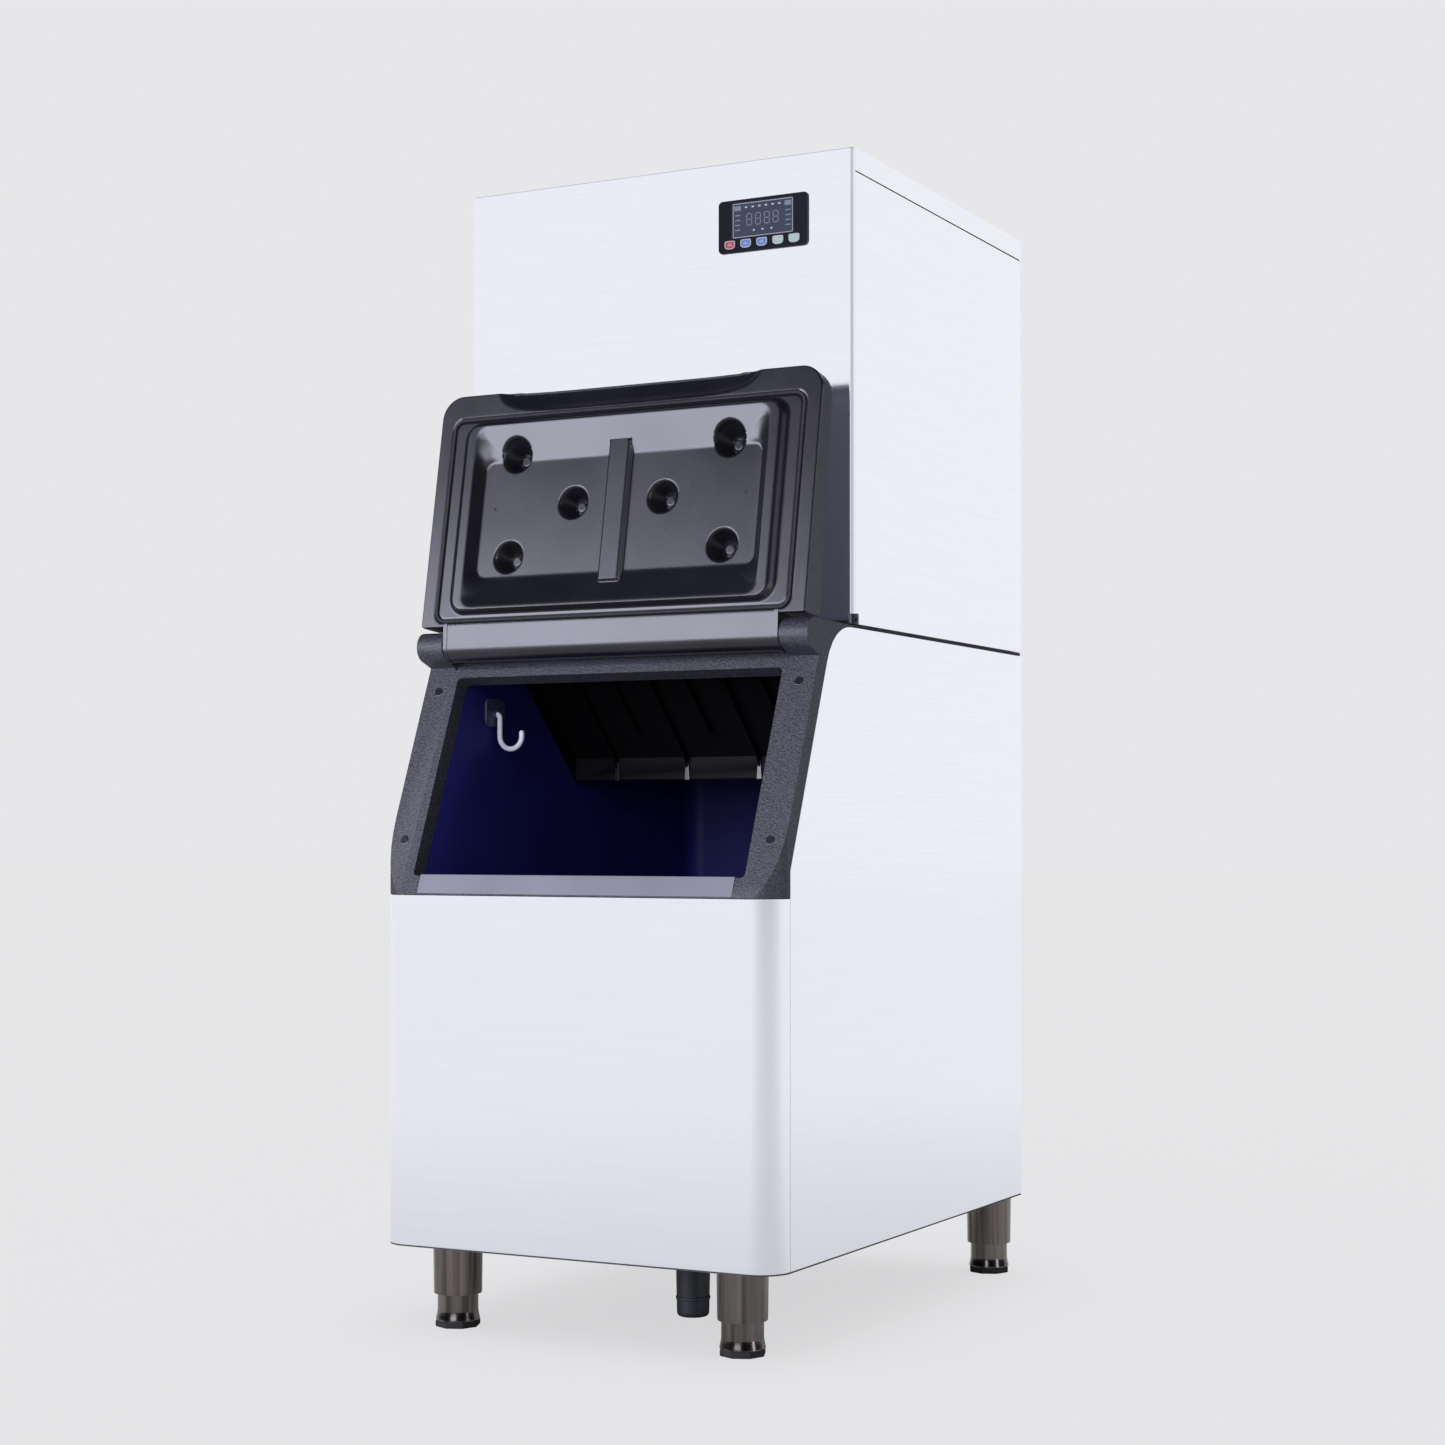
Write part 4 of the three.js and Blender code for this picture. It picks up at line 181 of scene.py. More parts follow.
class Surface:
    """Points and faces of one piece, gathered from grids, slabs and turned shapes."""

    def __init__(self, to_place=None):
        self.points, self.faces, self.count = [], [], 0
        self.to_place = to_place or (lambda points: points)

    def add(self, points, faces):
        points = np.asarray(points, float).reshape(-1, 3)
        self.points.append(self.to_place(points))
        self.faces += (np.asarray(faces) + self.count).tolist()
        self.count += len(points)

    def grid(self, points, closed=False, keep=None):
        """A surface over rows and columns of points, less the quads that keep leaves out."""
        faces = grid_faces(*points.shape[:2], closed)
        self.add(points, faces if keep is None else faces[keep.reshape(-1)])

    def fill(self, plans, height, axes):
        """A flat filling between the first plan and the holes that follow it."""
        triangles = tessellate_polygon([[Vector((*point, 0)) for point in plan] for plan in plans])
        self.add(at_height(np.concatenate(plans), height)[:, axes], triangles)

    def slab(self, plans, low, high, axes=FRONT, radius=0.0):
        """A plate: each plan is carried up the rounded edge, and both ends are filled."""
        for plan in plans:
            self.grid(carried(rounded_edge(low, high, radius), plan, closed=True)[..., axes], closed=True)
        for height in (low, high):
            self.fill([drawn_in(plan, radius) for plan in plans], height, axes)

    def turned(self, profile, centre=(0, 0, 0), axis=(0, 0, 1), sides=48):
        """A lathe shape: centre plus height along the axis plus radius round it."""
        axis = np.asarray(axis, float) / np.linalg.norm(axis)
        across = np.cross(axis, [1, 0, 0] if abs(axis[0]) < 0.9 else [0, 1, 0])
        across /= np.linalg.norm(across)
        angle = np.linspace(0, 2 * math.pi, sides, endpoint=False)[None, :, None]
        round_about = np.cos(angle) * across + np.sin(angle) * np.cross(axis, across)
        radius, height = np.asarray(profile, float).T[:, :, None, None]
        self.grid(np.asarray(centre, float) + height * axis + radius * round_about, closed=True)

    def tube(self, path, radii, sides=20):
        """Circles square to a path that lies in one x-z plane: the path's normal and y span each circle."""
        along = np.gradient(path, axis=0)
        along /= np.linalg.norm(along, axis=1, keepdims=True)
        normal = np.column_stack([along[:, 2], np.zeros(len(path)), -along[:, 0]])
        angle = np.linspace(0, 2 * math.pi, sides, endpoint=False)
        cosine, sine = (part[None, :, None] for part in (np.cos(angle), np.sin(angle)))
        ring = cosine * normal[:, None] + sine * np.array([0, 1, 0])
        self.grid(path[:, None] + np.asarray(radii, float)[:, None, None] * ring, closed=True)
        self.cap(sides)

    def cap(self, size):
        """Closes both ends: the first points and the last ones become a face each."""
        self.faces += [list(range(size)), list(range(self.count - size, self.count))]


def lid_place(points):
    """From the lid's own frame, where z runs up the open lid, to the standing machine."""
    x, y, z = points.T
    lean, rise = math.sin(LID_LEAN), math.cos(LID_LEAN)
    return HINGE + np.column_stack([x, y * rise + z * lean, z * rise - y * lean])


def slope_depth(height):
    """Depth of the slanted door frame's face at a height."""
    return (height - SILL_HEIGHT) * math.tan(SLOPE)


# Making pieces. Points nearer than a merge distance, in metres, become one. A solid's are stored coarser.

MERGE, SOLID_MERGE = 2e-6, 1e-5
SHARP = 35
SLOTS = {part["node"]: part["material_slot"] for part in frame["record"]["subparts"]}


def into_scene(name, data):
    """An object for some data, linked to the scene."""
    piece = bpy.data.objects.new(name, data)
    bpy.context.scene.collection.objects.link(piece)
    return piece


def finish_piece(piece, body, material, replaces=()):
    """Gives a piece its finish and the body it moves with, and hides the nodes it replaces."""
    piece.data.materials.clear()
    piece.data.materials.append(MATERIALS[material])
    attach(piece, body)
    if replaces:
        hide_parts(*replaces)
    return piece


def close_and_smooth(mesh, sharp_angle, merge=MERGE, flatten=False):
    """Merges doubles, turns faces outwards and keeps edges sharper than an angle sharp."""
    shell = bmesh.new()
    shell.from_mesh(mesh)
    bmesh.ops.remove_doubles(shell, verts=shell.verts, dist=merge)
    bmesh.ops.dissolve_degenerate(shell, edges=shell.edges, dist=merge)
    if flatten:
        bmesh.ops.dissolve_limit(shell, angle_limit=math.radians(0.5), verts=shell.verts, edges=shell.edges)
    bmesh.ops.recalc_face_normals(shell, faces=shell.faces)
    shell.to_mesh(mesh)
    shell.free()
    mesh.polygons.foreach_set("use_smooth", np.ones(len(mesh.polygons), bool))
    mesh.set_sharp_from_angle(angle=math.radians(sharp_angle))


def new_piece(name, surface, body, slot, replaces=(), material=None, sharp_angle=SHARP, wall=0.0):
    """A piece from gathered points, in its slot's finish or another. A wall makes a sheet that thickens
    inwards."""
    mesh = bpy.data.meshes.new(name)
    points = (np.concatenate(surface.points) + ORIGIN) * MM
    mesh.from_pydata(points.tolist(), [], surface.faces)
    close_and_smooth(mesh, sharp_angle)
    piece = into_scene(name, mesh)
    if wall:
        thicken = piece.modifiers.new("Sheet", "SOLIDIFY")
        thicken.thickness, thicken.offset, thicken.use_even_offset = wall * MM, -1, True
    flat = piece.modifiers.new("Flat faces", "WEIGHTED_NORMAL")
    flat.weight, flat.keep_sharp = 100, True
    return finish_piece(piece, body, material or slot, replaces)


def rounded_copy(node, material, bevel):
    """A copy of a solid whose flat faces are joined and whose edges get a small radius."""
    solid = frame["nodes"][node]
    mesh = solid.data.copy()
    close_and_smooth(mesh, SHARP, merge=SOLID_MERGE, flatten=True)
    piece = into_scene(node + "_skin", mesh)
    soften = piece.modifiers.new("Edge radius", "BEVEL")
    soften.width, soften.segments, soften.limit_method = bevel * MM, 3, "ANGLE"
    soften.angle_limit, soften.harden_normals = math.radians(SHARP), True
    return finish_piece(piece, solid["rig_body"], material, [node])


# Materials. Metallic, roughness and IOR start from what is typical of the real one.


def linear(hex_colour):
    """The sRGB curve undone for each of the three channels of a hex colour."""
    channels = np.array([int(hex_colour[i : i + 2], 16) for i in (1, 3, 5)]) / 255
    return (*np.where(channels <= 0.04045, channels / 12.92, ((channels + 0.055) / 1.055) ** 2.4), 1.0)


def add_node(tree, kind, settings=None, links=None):
    """Adds a shader node. Settings name its properties or sockets, links the source of a socket."""
    node = tree.nodes.new("ShaderNode" + kind)
    for key, value in (settings or {}).items():
        if isinstance(key, str) and hasattr(node, key):
            setattr(node, key, value)
        else:
            node.inputs[key].default_value = value
    for key, source in (links or {}).items():
        tree.links.new(source, node.inputs[key])
    return node


def new_material(name):
    """A material with its node tree, and the principled shader in it."""
    material = bpy.data.materials.new(name)
    material.use_nodes = True
    return material, material.node_tree, material.node_tree.nodes["Principled BSDF"]


def finish(name, colour, metallic, roughness, sockets, *patterns):
    """A shader whose patterns read Object coordinates. A pattern has a texture and its output, its cell in
    millimetres along x, y and z, settings and effects: shade runs the base colour between two colours,
    roughen the roughness between two values, and emboss raises by millimetres at a strength."""
    material, tree, shader = new_material(name)
    values = {"Base Color": linear(colour), "Metallic": metallic, "Roughness": roughness, **sockets}
    for key, value in values.items():
        shader.inputs[key].default_value = value
    normal = {}
    for (kind, output), cell, settings, effects in patterns:
        scale = [1 / (size * MM) for size in cell]
        place = add_node(tree, "TexCoord")
        spot = add_node(tree, "Mapping", {"Scale": scale}, {"Vector": place.outputs["Object"]})
        texture = add_node(tree, kind, {"Scale": 1.0, **settings}, {"Vector": spot.outputs["Vector"]})
        factor = texture.outputs[output]
        for effect, (low, high) in effects.items():
            if effect == "shade":
                made, target = add_node(tree, "ValToRGB", links={"Fac": factor}), "Base Color"
                for element, end, position in zip(made.color_ramp.elements, (low, high), (0.3, 0.7)):
                    element.color, element.position = linear(end), position
            elif effect == "roughen":
                made = add_node(tree, "MapRange", {"To Min": low, "To Max": high}, {"Value": factor})
                target = "Roughness"
            else:
                relief = {"Distance": low * MM, "Strength": high}
                made, target = add_node(tree, "Bump", relief, {"Height": factor, **normal}), "Normal"
                normal = {"Normal": made.outputs["Normal"]}
            tree.links.new(made.outputs[0], shader.inputs[target])
    return material


NOISE = ("TexNoise", "Fac")


def grained_plastic(name, low, high):
    """ABS moulded in an etched tool, IOR 1.53: rounded islands 2.2 mm apart, drawn twice as coarse as the
    real ones so that they show, under a 3 mm speckle of paler and darker tone that paints the glints and
    shade of the grain."""
    smooth = {"feature": "SMOOTH_F1", "Smoothness": 0.4}
    islands = (("TexVoronoi", "Distance"), [2.2] * 3, smooth, {"emboss": (0.5, 0.8)})
    speckle = (NOISE, [3] * 3, {"Detail": 2.0}, {"shade": (low, high), "roughen": (0.45, 0.58)})
    return finish(name, low, 0.0, 0.5, {"IOR": 1.53}, islands, speckle)


def formed_plastic(name, low, high, roughness, peel=9, depth=0.02, sockets=()):
    """Plastic sheet drawn over a hot mould, IOR 1.59: a soft ripple some millimetres across, and a haze
    over 80 mm that shifts its shade and gloss."""
    ripple = (NOISE, [peel] * 3, {"Detail": 2.0}, {"emboss": (depth, 0.6)})
    gloss = (roughness - 0.05, roughness + 0.06)
    haze = (NOISE, [80] * 3, {"Detail": 4.0}, {"shade": (low, high), "roughen": gloss})
    return finish(name, low, 0.0, roughness, {"IOR": 1.59, **dict(sockets)}, ripple, haze)


def plain_finish(name, colour, roughness, mottle=0.05, sockets=(), metallic=0.0, cell=14, bump=0.02):
    """A paint, a print or a moulded skin: its gloss wanders by a mottle over some millimetres, with a
    faint relief."""
    gloss = (max(roughness - mottle, 0.02), roughness + mottle)
    mist = (NOISE, [cell] * 3, {"Detail": 4.0}, {"roughen": gloss, "emboss": (bump, 0.5)})
    return finish(name, colour, metallic, roughness, dict(sockets), mist)


MATERIALS = {}


def make_materials():
    """The finishes, named for the record's slots where they stand for one."""
    grain = {"shade": ("#e8eaf4", "#ecedf6"), "roughen": (0.13, 0.17), "emboss": (0.004, 0.5)}
    zinc = {"shade": ("#b1b6b9", "#bfc3c6"), "roughen": (0.36, 0.48)}
    bloom = {"shade": ("#121213", "#222224"), "emboss": (0.05, 0.5)}
    # Fin crests pale and troughs dark: the troughs are painted shade between the fins
    fins = {"shade": ("#5f6467", "#c0c3c6"), "emboss": (0.4, 0.6)}
    moulded, silicone, waxy = {"IOR": 1.53}, {"IOR": 1.42}, {"Specular IOR Level": 0.15}
    MATERIALS.update(
        # Cold-rolled sheet brushed with a belt: long level scratches, drawn 2 mm apart because the real
        # 0.1 mm ones are too fine to show, over the faint waviness of a large sheet
        stainless=finish(
            "Brushed stainless steel", "#e9ebf4", 1.0, 0.2, {"Anisotropic": 0.3},
            (NOISE, (420, 420, 260), {"Detail": 1.0}, {"emboss": (0.4, 0.3)}),
            (NOISE, (160, 160, 2), {"Detail": 3.0, "Roughness": 0.6}, grain),
        ),
        # Hot-dip zinc: crystals about 11 mm across that differ a little in shade and gloss
        galvanised=finish(
            "Galvanised steel", "#b6babd", 1.0, 0.42, {}, (("TexVoronoi", "Color"), [11] * 3, {}, zinc)
        ),
        # Tube smoked by its plating: streaks 9 mm wide along the draw, partly drawing lines and partly
        # painted reflection bands, under lathe rings 0.8 mm apart
        leg_steel=finish(
            "Turned smoked stainless steel", "#5b5755", 1.0, 0.2, {},
            (NOISE, (9, 9, 600), {"Detail": 1.0}, {"shade": ("#4f4a48", "#7b7572")}),
            (NOISE, (60, 60, 0.8), {"Detail": 2.0}, {"roughen": (0.16, 0.26), "emboss": (0.003, 0.5)}),
        ),
        # Etched grain, dull at arm's length and speckled close up with painted glints, on the frame and the
        # cover
        frame_black=grained_plastic("Grained black ABS", "#1e1e25", "#3e3e48"),
        cover_black=grained_plastic("Grained charcoal ABS", "#25252c", "#3c3c46"),
        # Painted highlight: the black frame's sill in a paler grey, where light falls on it
        sill_grey=formed_plastic("Sill ABS with painted highlight", "#64646e", "#6d6d78", 0.4),
        # Half gloss where the sheet touched the polished mould
        lid_black=formed_plastic("Formed black HIPS", "#121217", "#17171d", 0.27),
        # Waxy and unpolished, so its gleam is weak and wide
        liner_blue=formed_plastic(
            "Formed blue polyethylene", "#22226a", "#272776", 0.5, 14, 0.06, {"Specular IOR Level": 0.2}
        ),
        # Moulded without polish, so it hardly gleams and stays dark
        chute_black=plain_finish("Dull black polyethylene", "#0c0c10", 0.6, sockets=waxy),
        # Extruded seal: dull, with a chalky bloom 6 mm across
        rubber_black=finish(
            "EPDM rubber", "#161617", 0.0, 0.75, {"IOR": 1.5}, (NOISE, [6] * 3, {"Detail": 5.0}, bloom)
        ),
        # Window film, hard coated, over a display that lies under thin glass
        panel_black=plain_finish("Black polycarbonate overlay", "#24242e", 0.22, 0.03, {"IOR": 1.58}),
        display=plain_finish(
            "Liquid crystal glass", "#4f5466", 0.12, 0.02, {"IOR": 1.52, "Coat Weight": 0.5}
        ),
        # Prints: flat inks, a little rough
        print_pale=plain_finish("Pale screen print", "#c6c8d2", 0.5, 0.04),
        print_dim=plain_finish("Dim liquid crystal segments", "#8a8fa1", 0.4, 0.04),
        key_rim=plain_finish("White key border print", "#cfd1da", 0.4, 0.04),
        # Keys: soft silicone, slightly greasy to the eye
        button_red=plain_finish("Red silicone key", "#c45c68", 0.35, 0.04, silicone),
        button_blue=plain_finish("Blue silicone key", "#7593d4", 0.35, 0.04, silicone),
        button_pale=plain_finish("Pale green silicone key", "#bcd2cc", 0.35, 0.04, silicone),
        # Nylon: dipped round a rod it is smooth, moulded it is satin
        hook_plate=plain_finish("Smoked nylon", "#3c3c5c", 0.4, sockets=moulded),
        hook_white=plain_finish("White nylon-coated rod", "#e6e6f0", 0.28, sockets=moulded),
        dark_plastic=plain_finish("Dark moulded nylon", "#26292e", 0.45, 0.06, moulded),
        # Foamed in place: matt, with cells 3 mm across, coarser than the real ones
        foam=plain_finish(
            "Rigid polyurethane foam", "#e3d6a6", 0.9, sockets={"IOR": 1.45}, cell=3, bump=0.6
        ),
        # Lacquer over copper tracks, bright nickel plate, a milky tray, glossy enamel and a dimpled one
        circuit_board=plain_finish("Green solder mask", "#1f6b3a", 0.3, sockets={"IOR": 1.55}),
        evaporator_metal=plain_finish("Nickel-plated copper", "#c6c7c9", 0.22, 0.08, metallic=1.0),
        water_plastic=plain_finish("Pale polypropylene", "#e6e7e4", 0.4, sockets={"IOR": 1.49}),
        compressor_paint=plain_finish("Black enamel paint", "#17181a", 0.3, 0.06, {"Coat Weight": 0.3}),
        motor_paint=plain_finish(
            "Grey hammered paint", "#4a4e53", 0.4, 0.06, metallic=0.3, cell=5, bump=0.2
        ),
        # Pressed fins: the wave has a crest each 12.6 mm, coarser than the real 2 mm so that it shows, and
        # its dark troughs are painted shade between the fins
        condenser_metal=finish(
            "Aluminium fins", "#a9adb1", 1.0, 0.35, {},
            (("TexWave", "Fac"), [40] * 3, {"Distortion": 0.0}, fins),
        ),
    )


# Sizes and counts that a user would change


def millimetres(name, description, default, **limits):
    """A length of the part, which the script counts in millimetres."""
    return FloatProperty(name=name, description=description + ", in millimetres", default=default, **limits)


def lamp_power(name, place, default):
    """A lamp's power, told apart by where the lamp stands."""
    return FloatProperty(name=name, description="Power of the light " + place, default=default, unit="POWER")


class SteelSizes(PropertyGroup):
    bend: millimetres("Bend radius", "Outer radius of the folded sheet edges", 1.6, min=0.5)
    flange: millimetres("Flange", "Width of the folded edges", 13.5, min=4)


class LidSizes(PropertyGroup):
    cell: millimetres("Cell", "Spacing of the lid's surface grid", 1.6, min=0.8)
    fillet: millimetres("Fillet", "Edge radius of the lid", 1.8, min=0.3)
    soften: FloatProperty(
        name="Wall softness", description="Share of a wall's run that its rounded ends take", default=0.22,
        subtype="FACTOR",
    )
    cone_depth: millimetres("Cone depth", "Depth of the moulded cones", 24)


class LegSizes(PropertyGroup):
    sides: IntProperty(name="Sides", description="Points round a turned piece", default=64, min=16)
    facets: IntProperty(name="Facets", description="Flats on the foot's flare", default=8, min=5)


class StageSizes(PropertyGroup):
    backdrop: StringProperty(
        name="Backdrop", description="Colour of the backdrop as sRGB hex", default="#e7e7e9"
    )
    lens: millimetres("Lens", "Focal length on a 36 mm frame", 64.33, min=10)
    key_power: lamp_power("Key light", "in the window", 184.0)
    rim_power: lamp_power("Rim light", "behind on the right", 14.0)
    strip_power: lamp_power("Strip light", "on the right", 24.0)
    back_power: lamp_power("Back light", "behind the lid", 80.0)
    fill_power: lamp_power("Fill light", "in front", 40.0)


class Settings(PropertyGroup):
    steel: PointerProperty(type=SteelSizes)
    lid: PointerProperty(type=LidSizes)
    legs: PointerProperty(type=LegSizes)
    stage: PointerProperty(type=StageSizes)


# Steel casing

BEND_STEPS = 5
# Width and heights of the black band of painted shade under the bin
SHADE_LINE_WIDTH, SHADE_LINE_LOW, SHADE_LINE_HIGH = 2, -1.2, -0.05
LOCK_STEP, LOCK_DEPTH, LOCK_HEIGHT = 6.6, 16.4, 13
COVER_HEIGHT = 29
HEAD_BEND = 6
WINDOW_X, WINDOW_Z = (94, 217), (1254.5, 1318.5)


def bend_profile(flange, radius, low, high):
    """Insets and heights of a sheet: a flange, a quarter bend, the wall and the start of a bend on top."""
    inset, rise = quarter(radius, BEND_STEPS)
    foot = np.column_stack([np.append(flange, inset), np.append(low, low + rise)])
    return np.concatenate([foot, np.column_stack([inset, high - rise])[:0:-1]])


def folded_panel(plan, face, inner, bend):
    """A panel seen from the side: its plan is filled at the face and its edge bends round to a flange."""
    skin = Surface()
    insets, rises = quarter(bend, BEND_STEPS)
    heights = face - math.copysign(1, face - inner) * rises
    profile = np.column_stack([np.append(insets, 0), np.append(heights, inner)])
    skin.grid(carried(profile, plan, closed=True)[..., SIDE], closed=True)
    skin.fill([drawn_in(plan, insets[0])], face, SIDE)
    return skin


def shoulder_plan():
    """The bin's side: a rectangle whose front edge follows the door frame and turns over its shoulder."""
    shoulder = 75
    centre_height = BIN_HEIGHT - shoulder
    centre = (slope_depth(centre_height) + FRAME_DEPTH + shoulder / math.cos(SLOPE), centre_height)
    knee = SILL_HEIGHT + (CORNER - FRAME_DEPTH) / math.tan(SLOPE)
    edge = arc(centre, shoulder, 90, 180 - math.degrees(SLOPE), 24)
    front = CORNER + SEAM
    return np.concatenate([[[front, 0], [BIN_DEPTH, 0], [BIN_DEPTH, BIN_HEIGHT]], edge, [[front, knee]]])


class ICE_OT_steel(Operator):
    """Dress the steel panels of the bin and the head"""

    bl_idname = "icemaker.steel"
    bl_label = "Steel panels"

    def execute(self, context):
        sizes = context.scene.ice_maker.steel
        reach = HALF_WIDTH - CORNER
        corners = [((-reach, CORNER), 180), ((reach, CORNER), 270)]
        plan = np.concatenate([arc(centre, CORNER, start, start + 90, 20) for centre, start in corners])
        wrap = Surface()
        wrap.grid(carried(bend_profile(sizes.flange, sizes.bend, 0, SILL_HEIGHT - SEAM), plan))
        new_piece("bin_front_wrap", wrap, "cabinet", "stainless", ["bin_front_panel"], wall=SHEET)
        self.base_shade_line()
        front, lock = HEAD_FRONT + LOCK_STEP, HEAD_FRONT + LOCK_DEPTH
        low, high = HEAD_LOW + LOCK_HEIGHT, HEAD_TOP - COVER_HEIGHT
        head_plan = [(front, low), (lock, low), (lock, HEAD_LOW), (BIN_DEPTH, HEAD_LOW), (BIN_DEPTH, high)]
        head_plan = np.array([*head_plan, (front, high)])
        for side, word in ((-1, "left"), (1, "right")):
            for plan, name, node in (
                (shoulder_plan(), "bin_side_skin_", "bin_side_panel_"),
                (head_plan, "head_side_skin_", "head_side_panel_"),
            ):
                skin = folded_panel(plan, side * HALF_WIDTH, side * (HALF_WIDTH - sizes.flange), sizes.bend)
                new_piece(name + word, skin, "cabinet", "stainless", [node + word], wall=SHEET)
        self.head_front()
        rounded_copy("head_top_cover", "stainless", 1.0)
        return {"FINISHED"}

    def base_shade_line(self):
        """Painted shade under the bin: a thin black band along the bin's outline, standing for the shade
        under the panels' bottom bend.
        """
        reach = HALF_WIDTH - SEAM
        plan = rounded_plan((-reach, SEAM), (reach, BIN_DEPTH - SEAM), CORNER, 1, steps=20)
        edge = Surface()
        edge.slab([plan, drawn_in(plan, SHADE_LINE_WIDTH)[::-1]], SHADE_LINE_LOW, SHADE_LINE_HIGH, TOP)
        new_piece("bin_base_edge", edge, "cabinet", "frame_black")

    def head_front(self):
        """The front sheet bent round both corners, with the control window and the lock corners left out."""
        lock_top, lock_reach = HEAD_LOW + LOCK_HEIGHT - 0.2, HALF_WIDTH - LOCK_STEP + SEAM
        flat = HALF_WIDTH - HEAD_BEND
        left = arc((-flat, HEAD_FRONT + HEAD_BEND), HEAD_BEND, 180, 270, 8)
        right = arc((flat, HEAD_FRONT + HEAD_BEND), HEAD_BEND, 270, 360, 8)
        middle = np.array([[x, HEAD_FRONT] for x in (-lock_reach, *WINDOW_X, lock_reach)])
        plan = np.concatenate([[left[0] + [0, SEAM]], left, middle, right, [right[-1] + [0, SEAM]]])
        heights = [HEAD_LOW, lock_top, *WINDOW_Z, HEAD_TOP - SHEET - SEAM]
        between = (plan[1:, 0] + plan[:-1, 0]) / 2
        keep = np.ones((len(heights) - 1, len(plan) - 1), bool)
        keep[0, np.abs(between) > lock_reach] = False
        keep[2, (between > WINDOW_X[0]) & (between < WINDOW_X[1])] = False
        skin = Surface()
        skin.grid(np.stack([at_height(plan, height) for height in heights]), keep=keep)
        new_piece("head_front_skin", skin, "cabinet", "stainless", ["head_front_panel"], wall=SHEET)


# Door frame and liner

PLUG_PLACES = [(x, height) for x in (-259, 259) for height in (508.5, 700)]
PLUG_PROFILE = [
    (0, -1), (5.8, -1), (5.8, 0.2), (5.4, 0.4), (5.0, 0.4), (4.8, 0.1), (4.4, 0.1), (4.2, 0.3), (0, 0.3),
]
RIB_PLACES = (-165, -55, 55, 165)
SILL_HALF, SILL_LOW, SILL_HIGH = 221.6, 1.2, 25.2


class ICE_OT_frame(Operator):
    """Dress the moulded door frame, the locks, the deflector and the liner"""

    bl_idname = "icemaker.frame"
    bl_label = "Door frame and liner"

    def execute(self, context):
        for node, material, bevel in (
            ("door_frame", "frame_black", 1.6),
            ("ice_deflector", "chute_black", 0.5),
            ("bin_liner", "liner_blue", 1.2),
            ("head_lock_left", "lid_black", 0.6),
            ("head_lock_right", "lid_black", 0.6),
        ):
            rounded_copy(node, material, bevel)
        self.gussets()
        self.sill()
        plugs = Surface()
        outward = (0, -math.cos(SLOPE), math.sin(SLOPE))
        for x, height in PLUG_PLACES:
            plugs.turned(PLUG_PROFILE, (x, slope_depth(height), height), outward, 32)
        new_piece("frame_screw_plugs", plugs, "cabinet", "lid_black")
        return {"FINISHED"}

    def gussets(self):
        """The polished ends of the deflector's long ribs: wedges that widen down its rear lip."""
        low, high = (np.array(corner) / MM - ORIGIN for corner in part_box("ice_deflector"))
        face, foot = high[1] - 3.2, low[2] + 1.5
        top = foot + 25
        tips = Surface()
        for x in RIB_PLACES:
            plan = np.array([(x - 4, foot), (x + 4, foot), (x + 2, top), (x - 2, top)])
            tips.slab([plan], face - 2.5, face, radius=0.4)
        new_piece("deflector_gusset_tips", tips, "cabinet", "lid_black")

    def sill(self):
        """A cap over the frame's sill, a little steeper than the frame: a section carried along x. Its paler
        grey is a painted highlight where light falls on the sill.
        """
        low, high = SILL_HEIGHT + SILL_LOW, SILL_HEIGHT + SILL_HIGH
        foot, crown = slope_depth(low) - 0.4, slope_depth(high) - 1.5
        front = [(foot + 2, low), (foot, low + 0.6), (crown, high - 0.8)]
        section = np.array([*front, (crown + 0.8, high), (crown + 6, high), (foot + 6, low)])
        cap = Surface()
        ends = [(0, -SILL_HALF), (0, SILL_HALF)]
        cap.grid(carried(ends, section, closed=True)[..., SIDE], closed=True)
        cap.cap(len(section))
        new_piece("frame_sill_cap", cap, "cabinet", "frame_black", material="sill_grey", sharp_angle=25)


# Lid


def rectangle_distance(x, z, low, high, radius):
    """Signed distance to a rounded rectangle: the length of what sticks out past its core, less the
    radius."""
    centre, half = np.add(low, high) / 2, np.subtract(high, low) / 2 - radius
    out = np.stack([np.abs(x - centre[0]) - half[0], np.abs(z - centre[1]) - half[1]])
    return np.linalg.norm(np.maximum(out, 0), axis=0) + np.minimum(out.max(0), 0) - radius


def soft_step(share, soften):
    """A ramp from 0 to 1 with its two corners rounded: its mean over a window of twice soften."""

    def area(t):
        return np.where(t < 0, 0, np.where(t < 1, t * t / 2, t - 0.5))

    return (area(share + soften) - area(share - soften)) / (2 * soften)


def wall_share(x, z, outer, inner):
    """How far a point is from the outer outline to the inner one, below 0 outside and above 1 inside."""
    outside, inside = rectangle_distance(x, z, *outer), rectangle_distance(x, z, *inner)
    return -outside / np.maximum(inside - outside, 0.5)


def soft_max(a, b, blend):
    """The greater of two heights, with the crease between them rounded over a blend."""
    overlap = np.maximum(blend - np.abs(a - b), 0) / blend
    return np.maximum(a, b) + overlap * overlap * blend / 4


LID_FACE = -20.5
LID_HALF = 275
LID_LOW, LID_HIGH = 21.6, 332.6
FOOT_RADIUS, TOP_RADIUS = 4, 30
PAN_FLOOR = LID_FACE + 3
CONES = [(side * x, z) for side in (-1, 1) for x, z in ((154, 111.5), (64.5, 178.5), (154, 245))]
VENTS = [(side * 181, PAN_FLOOR, 176.2) for side in (-1, 1)]
